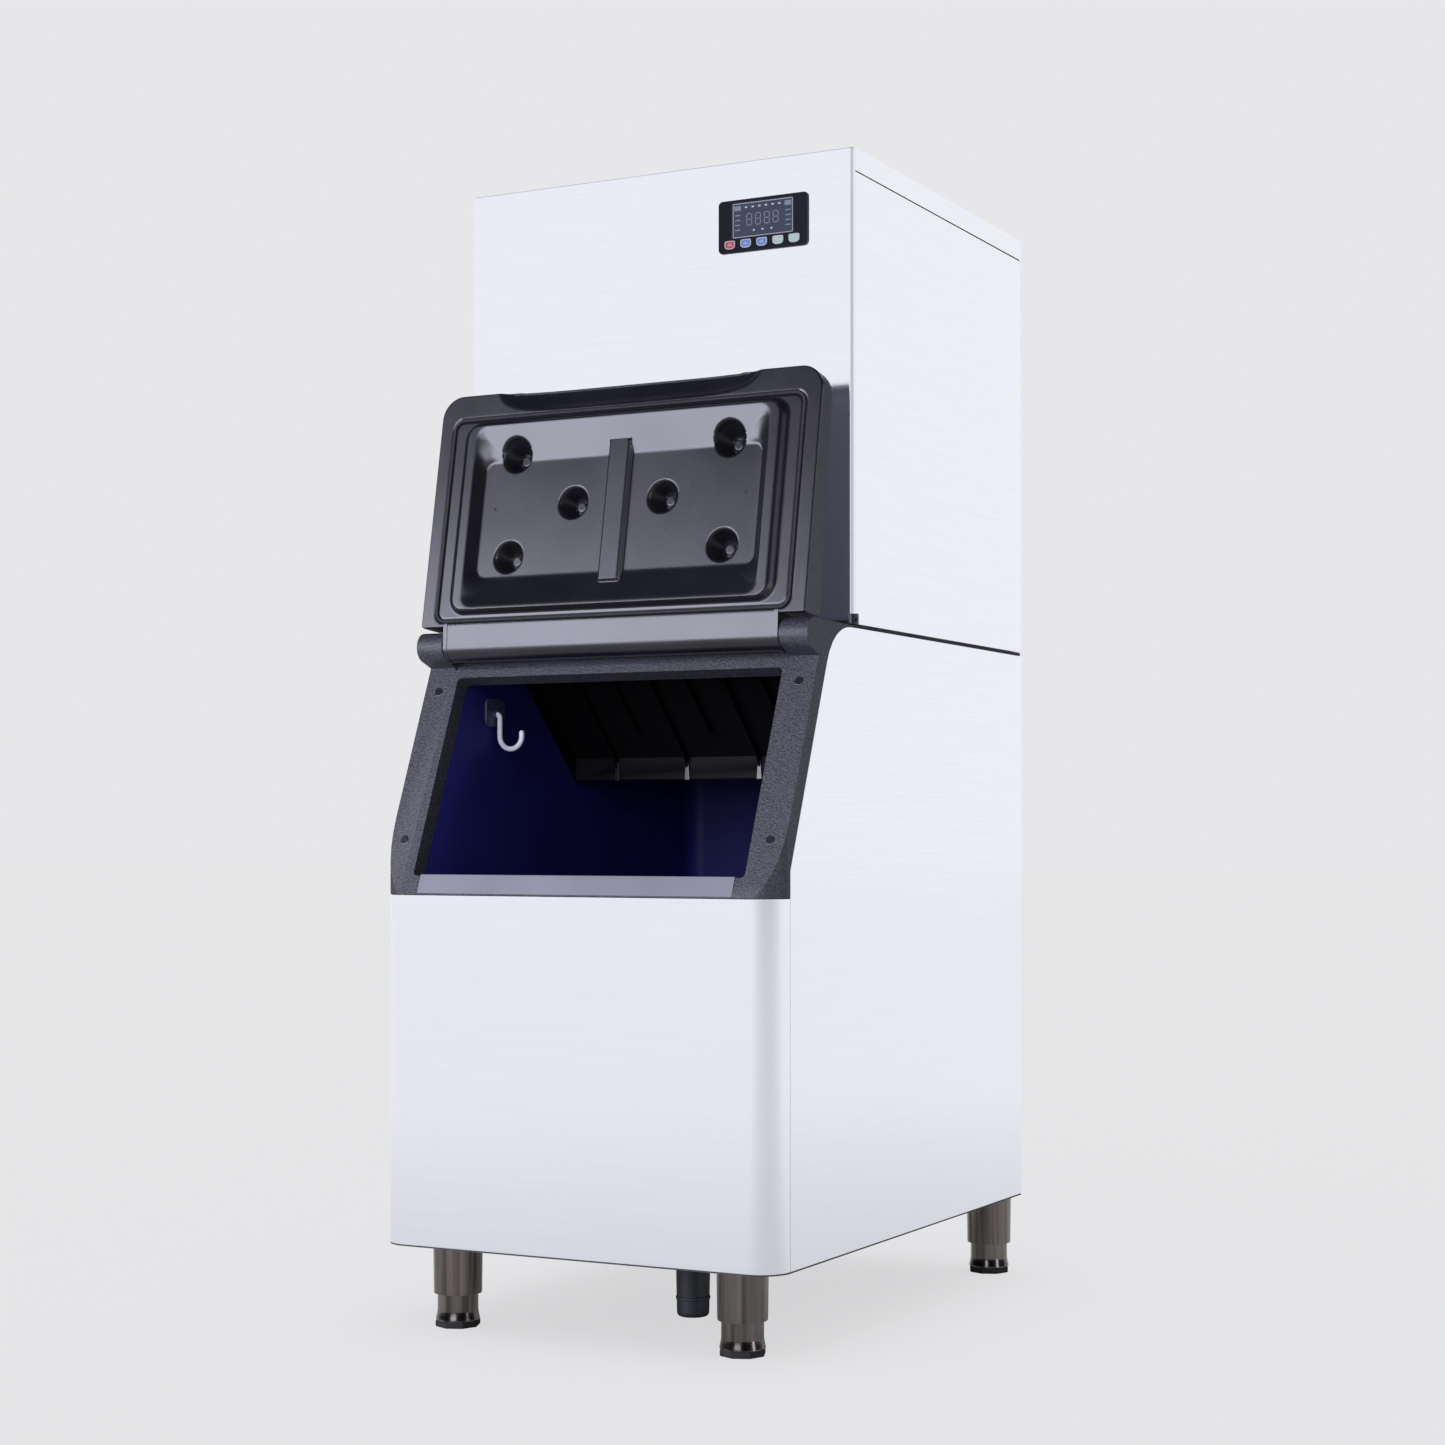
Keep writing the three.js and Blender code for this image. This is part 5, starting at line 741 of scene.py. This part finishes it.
# Rounded rectangles as low corner, high corner and radius: the seal, then both edges of two walls
SEAL = ((-253, 29), (253, 299), 14)
RIM = ((-233.5, 37), (233.5, 292), 24), ((-225.5, 41), (225.5, 288), 16)
DISH = ((-212, 45), (212, 284), 16), ((-200, 84), (200, 239), 12)
RIM_HEIGHT, DISH_DEPTH = 10, 13
GROOVE_HALF, GROOVE_DEPTH, GROOVE_RUN = 3.4, 1.5, 1.6
RIB = ((-14, 73), (14, 255), 1.5)
RIB_HEIGHT = 8
CONE_MOUTH, CONE_TIP, CONE_RUN = 21, 8.4, 12
GRIP_REACH, GRIP_HEIGHT, GRIP_CUT, GRIP_LIFT = 193.5, 28, 12, 12.4
BEAD = [
    (-2.2, -18), (-2.2, -20.6), (-1.5, -21.6), (0, -22), (1.5, -21.6), (2.2, -20.6), (2.2, -18), (-2.2, -18),
]
BARREL_RADIUS, BARREL_FLAT, BARREL_TOP, BARREL_END = 20.5, 17.6, 25, 240.7


def lid_depth(x, z, sizes):
    """Depth of the lid's face, where more is deeper. A soft step raises the rim and one sinks the pan, and a
    groove holds the seal. The rib stands over the pan and sinks 3 mm for each millimetre outside its
    outline. A cone is a soft step of the distance from its axis, with a small boss. The grip is a circle
    across z, whose radius shrinks towards both ends. Soft maxima round the creases."""
    depth = LID_FACE - RIM_HEIGHT * soft_step(wall_share(x, z, *RIM), sizes.soften)
    depth = depth + DISH_DEPTH * soft_step(wall_share(x, z, *DISH), 0.06)
    groove = np.abs(rectangle_distance(x, z, *SEAL)) - GROOVE_HALF
    depth = depth + GROOVE_DEPTH * soft_step(-groove / GROOVE_RUN, 0.3)
    rib = PAN_FLOOR - RIB_HEIGHT + 3 * np.maximum(rectangle_distance(x, z, *RIB), 0)
    depth = -soft_max(-depth, -rib, 1.5)
    for cone_x, cone_z in CONES:
        away = np.hypot(x - cone_x, z - cone_z)
        bowl = PAN_FLOOR + sizes.cone_depth * soft_step((CONE_MOUTH - away) / CONE_RUN, 0.08)
        bowl = bowl - 3 * soft_step((CONE_TIP - away) / 1.4, 0.3)
        bowl = bowl - 2.6 * np.maximum(away - CONE_MOUTH, 0)
        depth = soft_max(depth, bowl, 1.2)
    span = GRIP_HEIGHT + GRIP_LIFT
    centre = (span**2 - GRIP_LIFT**2 - GRIP_CUT**2) / (2 * GRIP_CUT)
    share = np.minimum(np.abs(x) / GRIP_REACH, 1)
    radius = np.hypot(span, centre) - 1.5 * GRIP_CUT * (1 - np.sqrt(1 - share**6))
    scoop = LID_FACE - centre + np.sqrt(np.maximum(radius**2 - (z - LID_HIGH - GRIP_LIFT) ** 2, 0))
    return soft_max(depth, np.where(np.abs(x) < GRIP_REACH, scoop, -100), 1.0)


class ICE_OT_lid(Operator):
    """Build the lid's dished plate, its hinge barrel, seal and back cover"""

    bl_idname = "icemaker.lid"
    bl_label = "Lid"

    def execute(self, context):
        sizes = context.scene.ice_maker.lid
        self.plate(sizes)
        self.barrel()
        seal, vents = Surface(lid_place), Surface(lid_place)
        seal.grid(carried(BEAD, rounded_plan(*SEAL, steps=10), closed=True)[..., FRONT], closed=True)
        new_piece("lid_seal_bead", seal, "lid", "rubber_black", ["lid_gasket"])
        # Each vent is a flat black disc: painted shade where a small hole would be dark inside
        for place in VENTS:
            vents.turned([(0, 0.0), (1.9, 0.0), (1.7, 0.12), (0, 0.12)], place, (0, -1, 0), 20)
        new_piece("lid_vent_holes", vents, "lid", "rubber_black")
        rounded_copy("lid_outer_cover", "cover_black", 1.5)
        return {"FINISHED"}

    def grid(self, sizes, inset):
        """Places over the lid's outline drawn in by an inset. Columns run at equal shares of the half width
        that each height has, so that they follow the rounded corners."""
        foot, turn = np.radians(np.linspace(90, 0, 7)), np.radians(np.linspace(0, 90, 26))
        rise = np.arange(LID_LOW + FOOT_RADIUS + sizes.cell, LID_HIGH - TOP_RADIUS, sizes.cell)
        below, above, half = FOOT_RADIUS - inset, TOP_RADIUS - inset, LID_HALF - inset
        low, high = LID_LOW + inset, LID_HIGH - inset
        straight = np.full(len(rise), half)
        heights = [low + below * (1 - np.sin(foot)), rise, high - above * (1 - np.sin(turn))]
        reach = [half - below * (1 - np.cos(foot)), straight, half - above * (1 - np.cos(turn))]
        heights, reach = np.concatenate(heights), np.concatenate(reach)
        share = np.linspace(-1, 1, int(2 * LID_HALF / sizes.cell))
        return share * reach[:, None], np.broadcast_to(heights[:, None], (len(heights), len(share)))

    def plate(self, sizes):
        """The face, a border that turns over the edge radius, and a back that keeps clear of the cones."""
        radius = sizes.fillet
        x, z = self.grid(sizes, radius)
        face = np.stack([x, lid_depth(x, z, sizes), z], -1)
        x, z = self.grid(sizes, 0)
        back = np.stack([x, np.maximum(lid_depth(x, z, sizes) + 2, LID_FACE + 6), z], -1)

        def border(grid):
            return np.concatenate([grid[0, :-1], grid[:-1, -1], grid[-1, :0:-1], grid[:0:-1, 0]])

        inner, outer = border(face), border(back)
        rings = []
        for angle in np.linspace(0, math.pi / 2, BEND_STEPS):
            plan = inner + (outer - inner) * math.sin(angle)
            plan[:, 1] = inner[:, 1] + radius * (1 - math.cos(angle))
            rings.append(plan)
        plate = Surface(lid_place)
        plate.grid(face)
        plate.grid(np.stack([*rings, outer]), closed=True)
        plate.grid(back)
        new_piece("lid_dished_plate", plate, "lid", "lid_black", ["lid_inner_panel"], sharp_angle=55)

    def barrel(self):
        """A U-shaped section with a flat front carried along x, drawn out at its two collars."""
        under = arc((0, 0), 1, 180, 360, 40)
        under *= np.where(under < 0, [BARREL_FLAT, BARREL_RADIUS], BARREL_RADIUS)
        top = [[LID_FACE, BARREL_TOP], [LID_FACE, 21]]
        section = np.concatenate([top, under, [[BARREL_RADIUS, BARREL_TOP]]])
        steps = [(0, 0.8), (0.8, 0), (0.8, -0.8), (6, -0.8), (6.4, 0)]
        stations = [(grow, step - BARREL_END) for step, grow in steps]
        stations += [(grow, -x) for grow, x in stations[::-1]]
        barrel = Surface(lid_place)
        barrel.grid(carried(stations, section, closed=True)[..., SIDE], closed=True)
        barrel.cap(len(section))
        new_piece("lid_hinge_barrel", barrel, "lid", "lid_black", ["lid_inner_panel"])


# Small parts

HOOK_WALL, HOOK_THICKNESS = 45 - HALF_WIDTH, 4.3
HOOK_DEPTH, HOOK_TOP = 198, 674
ROD_RADIUS, ROD_BEND, ROD_TURN = 3.5, 5, 17
SCREW_HEAD = [(3.4, 0), (3.4, 0.8), (2.4, 1.5), (0, 1.7)]
ROD_COLLAR = [(7, 0), (6.4, 1.6), (4.4, 2.4), (0, 2.4)]
LEG_PROFILE = [
    (0, 1.2), (14, 1.2), (14, -0.3), (31, -0.3), (31.7, -0.9), (31.8, -4.4), (31.4, -5.2),
    (30.6, -64.8), (30.1, -65.8), (26.6, -66), (26.1, -65.5), (26.1, -27), (0, -27),
]
# Under the bin the foot is measured from the bin, and its flare and the pad from the top of the pad
FOOT_TOP = [(0, -36), (25.2, -36), (25.8, -36.8)]
FOOT_FLARE = [(25.8, 14), (26.1, 11), (27, 6), (27.8, 2.5), (27.9, 1), (27.4, 0.3), (0, 0.3)]
PAD_HEIGHT, REAR_INSET = 8, 36
PAD_PROFILE = [(0, -8), (27.6, -8), (28.9, -6.8), (28.9, -1), (28.2, 0), (0, 0)]
SPOUT_PLACE = (64, 200, 0)
SPOUT_PROFILE = [
    (13, -95), (16.6, -95), (18.6, -94.2), (20.2, -92), (20.6, -89), (20.9, -74), (21.9, -73), (21.9, -70),
    (21, -69), (22.3, -6), (22.5, -2), (22, -0.3), (17, -0.3), (17, 44.7), (13, 44.7), (13, -95),
]


class ICE_OT_hook(Operator):
    """Build the scoop hook and its plate"""

    bl_idname = "icemaker.hook"
    bl_label = "Scoop hook"

    def execute(self, context):
        face = HOOK_WALL + HOOK_THICKNESS
        down, foot = face + 1 + ROD_BEND, HOOK_TOP - 29
        bends = [
            arc((face + 1, HOOK_TOP - ROD_BEND), ROD_BEND, 90, 0, 8),
            arc((down + ROD_TURN, foot), ROD_TURN, 180, 360, 28),
        ]
        path = np.concatenate([[[face - 2, HOOK_TOP]], *bends, [[down + 2 * ROD_TURN, foot + 4]]])
        tip = np.linspace(0, math.pi / 2, 7)[1:]
        crown = np.column_stack([np.full(6, path[-1, 0]), path[-1, 1] + ROD_RADIUS * np.sin(tip)])
        radii = ROD_RADIUS * np.concatenate([np.ones(len(path)), np.maximum(np.cos(tip), 0.02)])
        rod = Surface()
        rod.tube(at_height(np.concatenate([path, crown]), HOOK_DEPTH)[:, FRONT], radii)
        new_piece("scoop_hook_rod", rod, "cabinet", "hook_white", ["scoop_hook"])

        plate = Surface()
        plan = rounded_plan((HOOK_DEPTH - 23, 657), (HOOK_DEPTH + 23, 695), 10)
        plate.slab([plan], HOOK_WALL + SEAM, face, SIDE, 1.2)
        for y, height, profile, sides in (
            (-14, 676, SCREW_HEAD, 24),
            (14, 676, SCREW_HEAD, 24),
            (0, HOOK_TOP, ROD_COLLAR, 32),
        ):
            plate.turned(profile, (face - 0.2, HOOK_DEPTH + y, height), (1, 0, 0), sides)
        new_piece("scoop_hook_base", plate, "cabinet", "lid_black", ["scoop_hook_plate"], "hook_plate")
        return {"FINISHED"}


class ICE_OT_legs(Operator):
    """Build the legs, the levelling feet with their pads, and the drain spout"""

    bl_idname = "icemaker.legs"
    bl_label = "Legs and drain"

    def execute(self, context):
        sizes = context.scene.ice_maker.legs
        low = PAD_HEIGHT - LEG_HEIGHT
        foot_profile = FOOT_TOP + [(radius, low + height) for radius, height in FOOT_FLARE]
        pad_profile = [(radius, low + height) for radius, height in PAD_PROFILE]
        front, rear = (HALF_WIDTH - 77, 66), (HALF_WIDTH - REAR_INSET, BIN_DEPTH - REAR_INSET)
        for place, (x, y) in {
            "front_left": (-front[0], front[1]),
            "front_right": front,
            "rear_left": (-rear[0], rear[1]),
            "rear_right": rear,
        }.items():
            foot = "foot_" + place
            for name, profile, body, slot, node, sides, sharp_angle in (
                ("leg_tube_", LEG_PROFILE, "cabinet", "leg_steel", "leg_sleeve_", sizes.sides, SHARP),
                ("foot_turned_", foot_profile, foot, "leg_steel", "levelling_foot_", sizes.sides, 25),
                ("pad_moulded_", pad_profile, foot, "rubber_black", "foot_pad_", sizes.facets, 25),
            ):
                turned = Surface()
                turned.turned(profile, (x, y, 0), sides=sides)
                new_piece(name + place, turned, body, slot, [node + place], sharp_angle=sharp_angle)
        spout = Surface()
        spout.turned(SPOUT_PROFILE, SPOUT_PLACE, sides=sizes.sides)
        new_piece("drain_spout_turned", spout, "cabinet", "lid_black", ["drain_spout"], "dark_plastic")
        return {"FINISHED"}


# Control panel

PANEL_FACE, PANEL_LIP = 2.2, 0.3
PANEL_CENTRE = (155.5, 1286.5)
PANEL_SIZE, PANEL_BODY = (126, 67), (122.4, 63.4)
SCREEN_LOW, SCREEN_HIGH = (111.5, 1270.5), (198.5, 1316.5)
SCREEN_SINK = 0.8
KEY_X, KEY_Z, KEY_PITCH = 154.2, 1263.4, 22.6
KEY_COLOURS = ("button_red", "button_blue", "button_blue", "button_pale", "button_pale")
# The seven bars of an eight as shares of its spacing: the level ones, then the upright ones
LEVEL_BARS, UPRIGHT_BARS = [(0, 1), (0, 0), (0, -1)], [(-1, 0.5), (1, 0.5), (-1, -0.5), (1, -0.5)]


def key_plan(x, grow=0.0):
    """A shield: a superellipse, boxy above and rounder below, with x as cosine and z as sine to a power."""
    angle = np.linspace(0, 2 * math.pi, 48, endpoint=False)
    cosine, sine = np.cos(angle), np.sin(angle)
    power = np.where(sine > 0, 2 / 6, 2 / 2.6)
    across = (7.5 + grow) * np.sign(cosine) * np.abs(cosine) ** power
    up = (5.5 + grow) * np.sign(sine) * np.abs(sine) ** power
    return np.column_stack([x + across, KEY_Z + up])


def bar_plan(x, z, length, width, upright=False):
    """A bar with pointed ends."""
    half, tip = length / 2, width / 2
    below = [(-half, 0), (tip - half, -tip), (half - tip, -tip)]
    plan = np.array(below + [(-across, -up) for across, up in below])
    return (plan[:, ::-1] * [-1, 1] if upright else plan) + [x, z]


def box_plan(x, z, width, height, rounding=0.15):
    """A box whose corner radius is a share of its smaller side."""
    half = np.array([width, height]) / 2
    return rounded_plan([x, z] - half, [x, z] + half, min(width, height) * rounding, steps=3)


class ICE_OT_controls(Operator):
    """Build the control panel: overlay, display, its marks and the five keys"""

    bl_idname = "icemaker.controls"
    bl_label = "Control panel"

    def execute(self, context):
        face = HEAD_FRONT - PANEL_FACE
        keys = [KEY_X + (i - 2) * KEY_PITCH for i in range(5)]
        half = np.array(PANEL_SIZE) / 2
        outline = rounded_plan(PANEL_CENTRE - half, PANEL_CENTRE + half, 6)
        holes = [rounded_plan(SCREEN_LOW, SCREEN_HIGH, 1.0)[::-1]] + [key_plan(x, 0.4)[::-1] for x in keys]
        overlay = Surface()
        back = HEAD_FRONT - PANEL_LIP
        overlay.slab([outline, *holes], face, back, radius=0.5)
        overlay.slab([box_plan(*PANEL_CENTRE, *PANEL_BODY), *holes], back - 0.1, HEAD_FRONT + 9)
        new_piece("control_overlay", overlay, "cabinet", "panel_black", ["control_bezel"])
        glass, front = Surface(), face + SCREEN_SINK
        plan = rounded_plan(np.add(SCREEN_LOW, SEAM), np.subtract(SCREEN_HIGH, SEAM), 0.8)
        glass.slab([plan], front, front + 6, radius=0.2)
        new_piece("display_glass", glass, "cabinet", "display", ["control_display"])
        self.marks(front)
        for i, (x, colour) in enumerate(zip(keys, KEY_COLOURS), 1):
            self.key(i, x, colour, face)
        return {"FINISHED"}

    def key(self, number, x, colour, face):
        """A crowned cap on a stem with a pale border: the cap draws in evenly while it rises as the sine of
        nearly a quarter turn."""
        body, plan = f"button_{number}", key_plan(x)
        rings = [at_height(plan, HEAD_FRONT + 2)]
        for share in np.linspace(0, 1, 6):
            height = face - 0.4 - 0.6 * math.sin(share * 1.57)
            rings.append(at_height(drawn_in(plan, 1.6 * share), height))
        cap = Surface()
        cap.grid(np.stack(rings)[..., FRONT], closed=True)
        cap.cap(len(plan))
        cap.slab([box_plan(x, 1263, 17, 12.5)], HEAD_FRONT + 1.5, HEAD_FRONT + 2.7)
        new_piece(f"key_cap_{number}", cap, body, colour, [f"control_button_{number}"])
        border, low = Surface(), face - 1.05
        border.slab([drawn_in(plan, 0.3), drawn_in(plan, 1.2)[::-1]], low, face - 0.5)
        for rise in (0, 2):
            border.slab([bar_plan(x, 1262.8 + rise, 6 - rise, 0.8)], low, face - 0.9)
        new_piece(f"key_border_{number}", border, body, colour, material="key_rim")

    def marks(self, face):
        """Generic marks only: a border, four eights, rows of dots and short bars, and no words."""
        outer, inner = (
            rounded_plan(np.add(SCREEN_LOW, inset), np.subtract(SCREEN_HIGH, inset), radius)
            for inset, radius in ((1.4, 1.2), (2.1, 0.8))
        )
        bright = [[outer, inner[::-1]]]
        bright += [[bar_plan(131.5 + i * 9.4, 1309.5, 4.4, 2.2)] for i in range(6)]
        bright += [[bar_plan(142.5 + i * 12.4, 1279.5, 3.8, 2.2)] for i in range(3)]
        dim = []
        for x in (119.5, 190.5):
            dim += [[box_plan(x, 1309, 9.5, 6)], *[[box_plan(x, 1300 - i * 6.2, 7.5, 1.5)] for i in range(4)]]
        for x in (136 + i * 12.4 for i in range(4)):
            dim += [[bar_plan(x + across, 1293.6 + up * 7.2, 6.2, 1.1)] for across, up in LEVEL_BARS]
            for across, up in UPRIGHT_BARS:
                dim.append([bar_plan(x + across * 3.5, 1293.6 + up * 7.2, 6.4, 1.1, upright=True)])
        for name, rise, plans, ink in (
            ("display_marks", 0.08, bright, "print_pale"),
            ("display_segments", 0.06, dim, "print_dim"),
        ):
            marks = Surface()
            for plan in plans:
                marks.slab(plan, face - rise, face + 0.1)
            new_piece(name, marks, "cabinet", "display", material=ink)


class ICE_OT_finishes(Operator):
    """Give every solid that still shows its real finish"""

    bl_idname = "icemaker.finishes"
    bl_label = "Finishes"

    def execute(self, context):
        for node, slot in SLOTS.items():
            for place in frame["nodes"][node].material_slots:
                place.material = MATERIALS[slot]
        return {"FINISHED"}


# Stage. Places are metres.

DOME_RADIUS, FLOOR_SIDE = 30, 40.0
WHITE = (1, 1, 1, 1)
CAMERA_PLACE, CAMERA_TILT, CAMERA_TURN = (1.612, -3.0905, 0.622), 0.457, 27.5
FRAME_WIDTH, CAMERA_SHIFT = 36, 0.0639
LAMP_COLOUR = (0.82, 0.83, 1)


class ICE_OT_stage(Operator):
    """Set up the floor, the backdrop, the lights and the camera"""

    bl_idname = "icemaker.stage"
    bl_label = "Stage"

    def execute(self, context):
        scene, sizes = context.scene, context.scene.ice_maker.stage
        bright = ["stainless", "galvanised", "evaporator_metal", "condenser_metal"]
        prints = ("panel", "display", "print", "button", "key")
        panel = [name for name in MATERIALS if name.split("_")[0] in prints]
        self.link(self.dome(), bright, "INCLUDE")
        self.link(self.floor(sizes.backdrop), [*bright, "leg_steel"], "INCLUDE")
        self.world(scene, sizes.backdrop)
        self.camera(scene, sizes.lens)
        left = (-2.2, -3.65, 1.42)
        window = self.lamp("Front left window", left, (0, -0.3, 1.1), (3.0, 2.15), sizes.key_power)
        wall = self.lamp("Rear right wall", (2.2, 3.6, 1.2), (0, 0, 0.9), (3.0, 2.4), sizes.rim_power)
        strip = self.lamp("Right strip", (3.6, -0.6, 1.0), (0, 0, 0.9), (0.4, 2.4), sizes.strip_power)
        fill = self.lamp("Front fill", (0.2, -3.4, 1.3), (0, 0.2, 0.6), (1.6, 1.6), sizes.fill_power)
        back = self.lamp("Lid back light", (-0.9, 3.2, 1.2), (0, 0, 1.0), (1.4, 2.0), sizes.back_power)
        self.link(window, ["floor", "stainless", *panel, "liner_blue", "leg_steel"], "EXCLUDE")
        for lamp in (wall, strip, fill):
            self.link(lamp, ["floor", "stainless"], "EXCLUDE")
        for use in ("receiver", "blocker"):
            self.link(back, ["cover_black"], "INCLUDE", use)
        fill.data.specular_factor = back.data.specular_factor = 0
        scene.view_settings.view_transform = "Standard"
        return {"FINISHED"}

    def set_piece(self, name, points, faces, material):
        """A piece of the stage, which the part does not keep."""
        mesh = bpy.data.meshes.new(name)
        mesh.from_pydata(points, [], faces)
        mesh.materials.append(material)
        piece = into_scene(name, mesh)
        return piece

    def link(self, source, finishes, state, use="receiver"):
        """Has a source light only the pieces in these finishes, or all but those. Blockers shade it."""
        names = [MATERIALS[finish].name for finish in finishes]
        group = bpy.data.collections.new(f"{source.name} {use}s")
        setattr(source.light_linking, use + "_collection", group)
        for piece in bpy.data.objects:
            if piece.type == "MESH" and any(name in piece.data.materials for name in names):
                group.objects.link(piece)
        for link in group.collection_objects:
            link.light_linking.link_state = state

    def room(self, tree):
        """How bright the mirrored room is: 1, falling to 0.55 towards the front right, where it is darker.
        The share is the dot product of the unit place with that direction."""
        place = add_node(tree, "TexCoord").outputs["Object"]
        unit = add_node(tree, "VectorMath", {"operation": "NORMALIZE"}, {0: place}).outputs["Vector"]
        toward = add_node(tree, "VectorMath", {"operation": "DOT_PRODUCT", 1: (0.77, -0.64, 0)}, {0: unit})
        span = {"From Min": 0.6, "From Max": 1.0, "To Min": 1.0, "To Max": 0.55}
        return add_node(tree, "MapRange", span, {"Value": toward.outputs["Value"]}).outputs["Result"]

    def dome(self):
        """A white dome, a quarter circle turned round z, that the bright metals mirror. The plastics mirror
        the lamps alone."""
        material, tree, _ = new_material("White dome")
        glow = add_node(tree, "Emission", {"Color": WHITE}, {"Strength": self.room(tree)})
        tree.links.new(glow.outputs[0], tree.nodes["Material Output"].inputs["Surface"])
        surface = Surface()
        turn = np.radians(np.linspace(0, 90, 12))
        surface.turned(np.column_stack([np.cos(turn), np.sin(turn)]) * DOME_RADIUS / MM, -ORIGIN)
        points = (surface.points[0] + ORIGIN) * MM
        dome = self.set_piece("dome", points.tolist(), surface.faces, material)
        dome.visible_camera = dome.visible_diffuse = dome.visible_shadow = dome.visible_transmission = False
        return dome

    def floor(self, colour):
        """A large pale plane. What the camera and gloss see of it glows, so that it meets the backdrop. The
        mirrored glow fades near the cabinet, which shades it, and with the room."""
        material, tree, shader = new_material("Pale studio floor")
        shader.inputs["Base Color"].default_value = linear(colour)
        shader.inputs["Roughness"].default_value = 0.9
        MATERIALS["floor"] = material
        glow = add_node(tree, "Emission", {"Color": linear(colour), "Strength": 0.8})
        matt = add_node(tree, "BsdfDiffuse", {"Color": (0.25, 0.25, 0.252, 1)})
        seen = add_node(tree, "AddShader", links={0: glow.outputs[0], 1: matt.outputs[0]})
        place = add_node(tree, "TexCoord").outputs["Object"]
        away = add_node(tree, "VectorMath", {"operation": "LENGTH"}, {0: place}).outputs["Value"]
        span = {"From Min": 0.5, "From Max": 3.0, "To Min": 0.28, "To Max": 0.45}
        fade = add_node(tree, "MapRange", span, {"Value": away}).outputs["Result"]
        strength = add_node(tree, "Math", {"operation": "MULTIPLY"}, {0: fade, 1: self.room(tree)})
        white = add_node(tree, "Emission", {"Color": WHITE}, {"Strength": strength.outputs[0]})
        shaded = add_node(tree, "BsdfDiffuse", {"Color": (0.85, 0.85, 0.85, 1)})
        mirrored = add_node(tree, "AddShader", links={0: white.outputs[0], 1: shaded.outputs[0]})
        rays, mix = add_node(tree, "LightPath").outputs, shader
        for ray, shown in (("Is Camera Ray", seen), ("Is Glossy Ray", mirrored)):
            mix = add_node(tree, "MixShader", links={0: rays[ray], 1: mix.outputs[0], 2: shown.outputs[0]})
        tree.links.new(mix.outputs[0], tree.nodes["Material Output"].inputs["Surface"])
        side = FLOOR_SIDE
        corners = [(-side, -side, 0), (side, -side, 0), (side, side, 0), (-side, side, 0)]
        return self.set_piece("floor", corners, [(0, 1, 2, 3)], material)

    def world(self, scene, colour):
        """The backdrop's colour for the camera and for glass, a cool one for gloss, a white sky for the
        rest."""
        world = scene.world = bpy.data.worlds.new("Studio")
        world.use_nodes = True
        tree = world.node_tree
        tree.nodes.clear()
        rays = add_node(tree, "LightPath").outputs
        either = {0: rays["Is Camera Ray"], 1: rays["Is Transmission Ray"]}
        seen = add_node(tree, "Math", {"operation": "MAXIMUM"}, either)
        mix = add_node(tree, "Background", {"Color": WHITE, "Strength": 0.6})
        for ray, glow, strength in (
            (rays["Is Glossy Ray"], (0.8, 0.82, 1, 1), 0.9),
            (seen.outputs[0], linear(colour), 1.0),
        ):
            shown = add_node(tree, "Background", {"Color": glow, "Strength": strength})
            mix = add_node(tree, "MixShader", links={0: ray, 1: mix.outputs[0], 2: shown.outputs[0]})
        tree.links.new(mix.outputs[0], add_node(tree, "OutputWorld").inputs["Surface"])

    def camera(self, scene, lens):
        """The photograph's view: the camera stands right of the front and looks 27.5 degrees across."""
        data = bpy.data.cameras.new("Camera")
        data.lens, data.sensor_width, data.shift_y, data.clip_end = lens, FRAME_WIDTH, CAMERA_SHIFT, 200
        camera = scene.camera = into_scene("Camera", data)
        camera.location = CAMERA_PLACE
        camera.rotation_euler = (math.radians(90 + CAMERA_TILT), 0, math.radians(CAMERA_TURN))

    def lamp(self, name, place, target, size, power):
        """A soft cool light that faces its target."""
        data = bpy.data.lights.new(name, "AREA")
        data.shape, data.size, data.size_y, data.energy = "RECTANGLE", *size, power
        data.color = LAMP_COLOUR
        lamp = into_scene(name, data)
        lamp.location = place
        lamp.rotation_euler = (Vector(target) - Vector(place)).to_track_quat("-Z", "Y").to_euler()
        return lamp


STEPS = (
    ICE_OT_finishes, ICE_OT_steel, ICE_OT_frame, ICE_OT_lid, ICE_OT_hook, ICE_OT_legs, ICE_OT_controls,
    ICE_OT_stage,
)


class ICE_PT_panel(Panel):
    """Lists the steps and the sizes"""

    bl_label = "Ice Maker"
    bl_idname = "ICE_PT_panel"
    bl_space_type = "VIEW_3D"
    bl_region_type = "UI"
    bl_category = "Ice Maker"

    def draw(self, context):
        settings = context.scene.ice_maker
        for step in STEPS:
            self.layout.operator(step.bl_idname)
        for group in (settings.steel, settings.lid, settings.legs, settings.stage):
            box = self.layout.box()
            for name in group.__annotations__:
                box.prop(group, name)


CLASSES = (SteelSizes, LidSizes, LegSizes, StageSizes, Settings, *STEPS, ICE_PT_panel)


def register():
    for cls in CLASSES:
        bpy.utils.register_class(cls)
    bpy.types.Scene.ice_maker = PointerProperty(type=Settings)


def unregister():
    del bpy.types.Scene.ice_maker
    for cls in reversed(CLASSES):
        bpy.utils.unregister_class(cls)


def main():
    register()
    make_materials()
    for step in STEPS:
        getattr(bpy.ops.icemaker, step.bl_idname.split(".")[1])()
    bpy.context.view_layer.update()


if __name__ == "__main__":
    main()
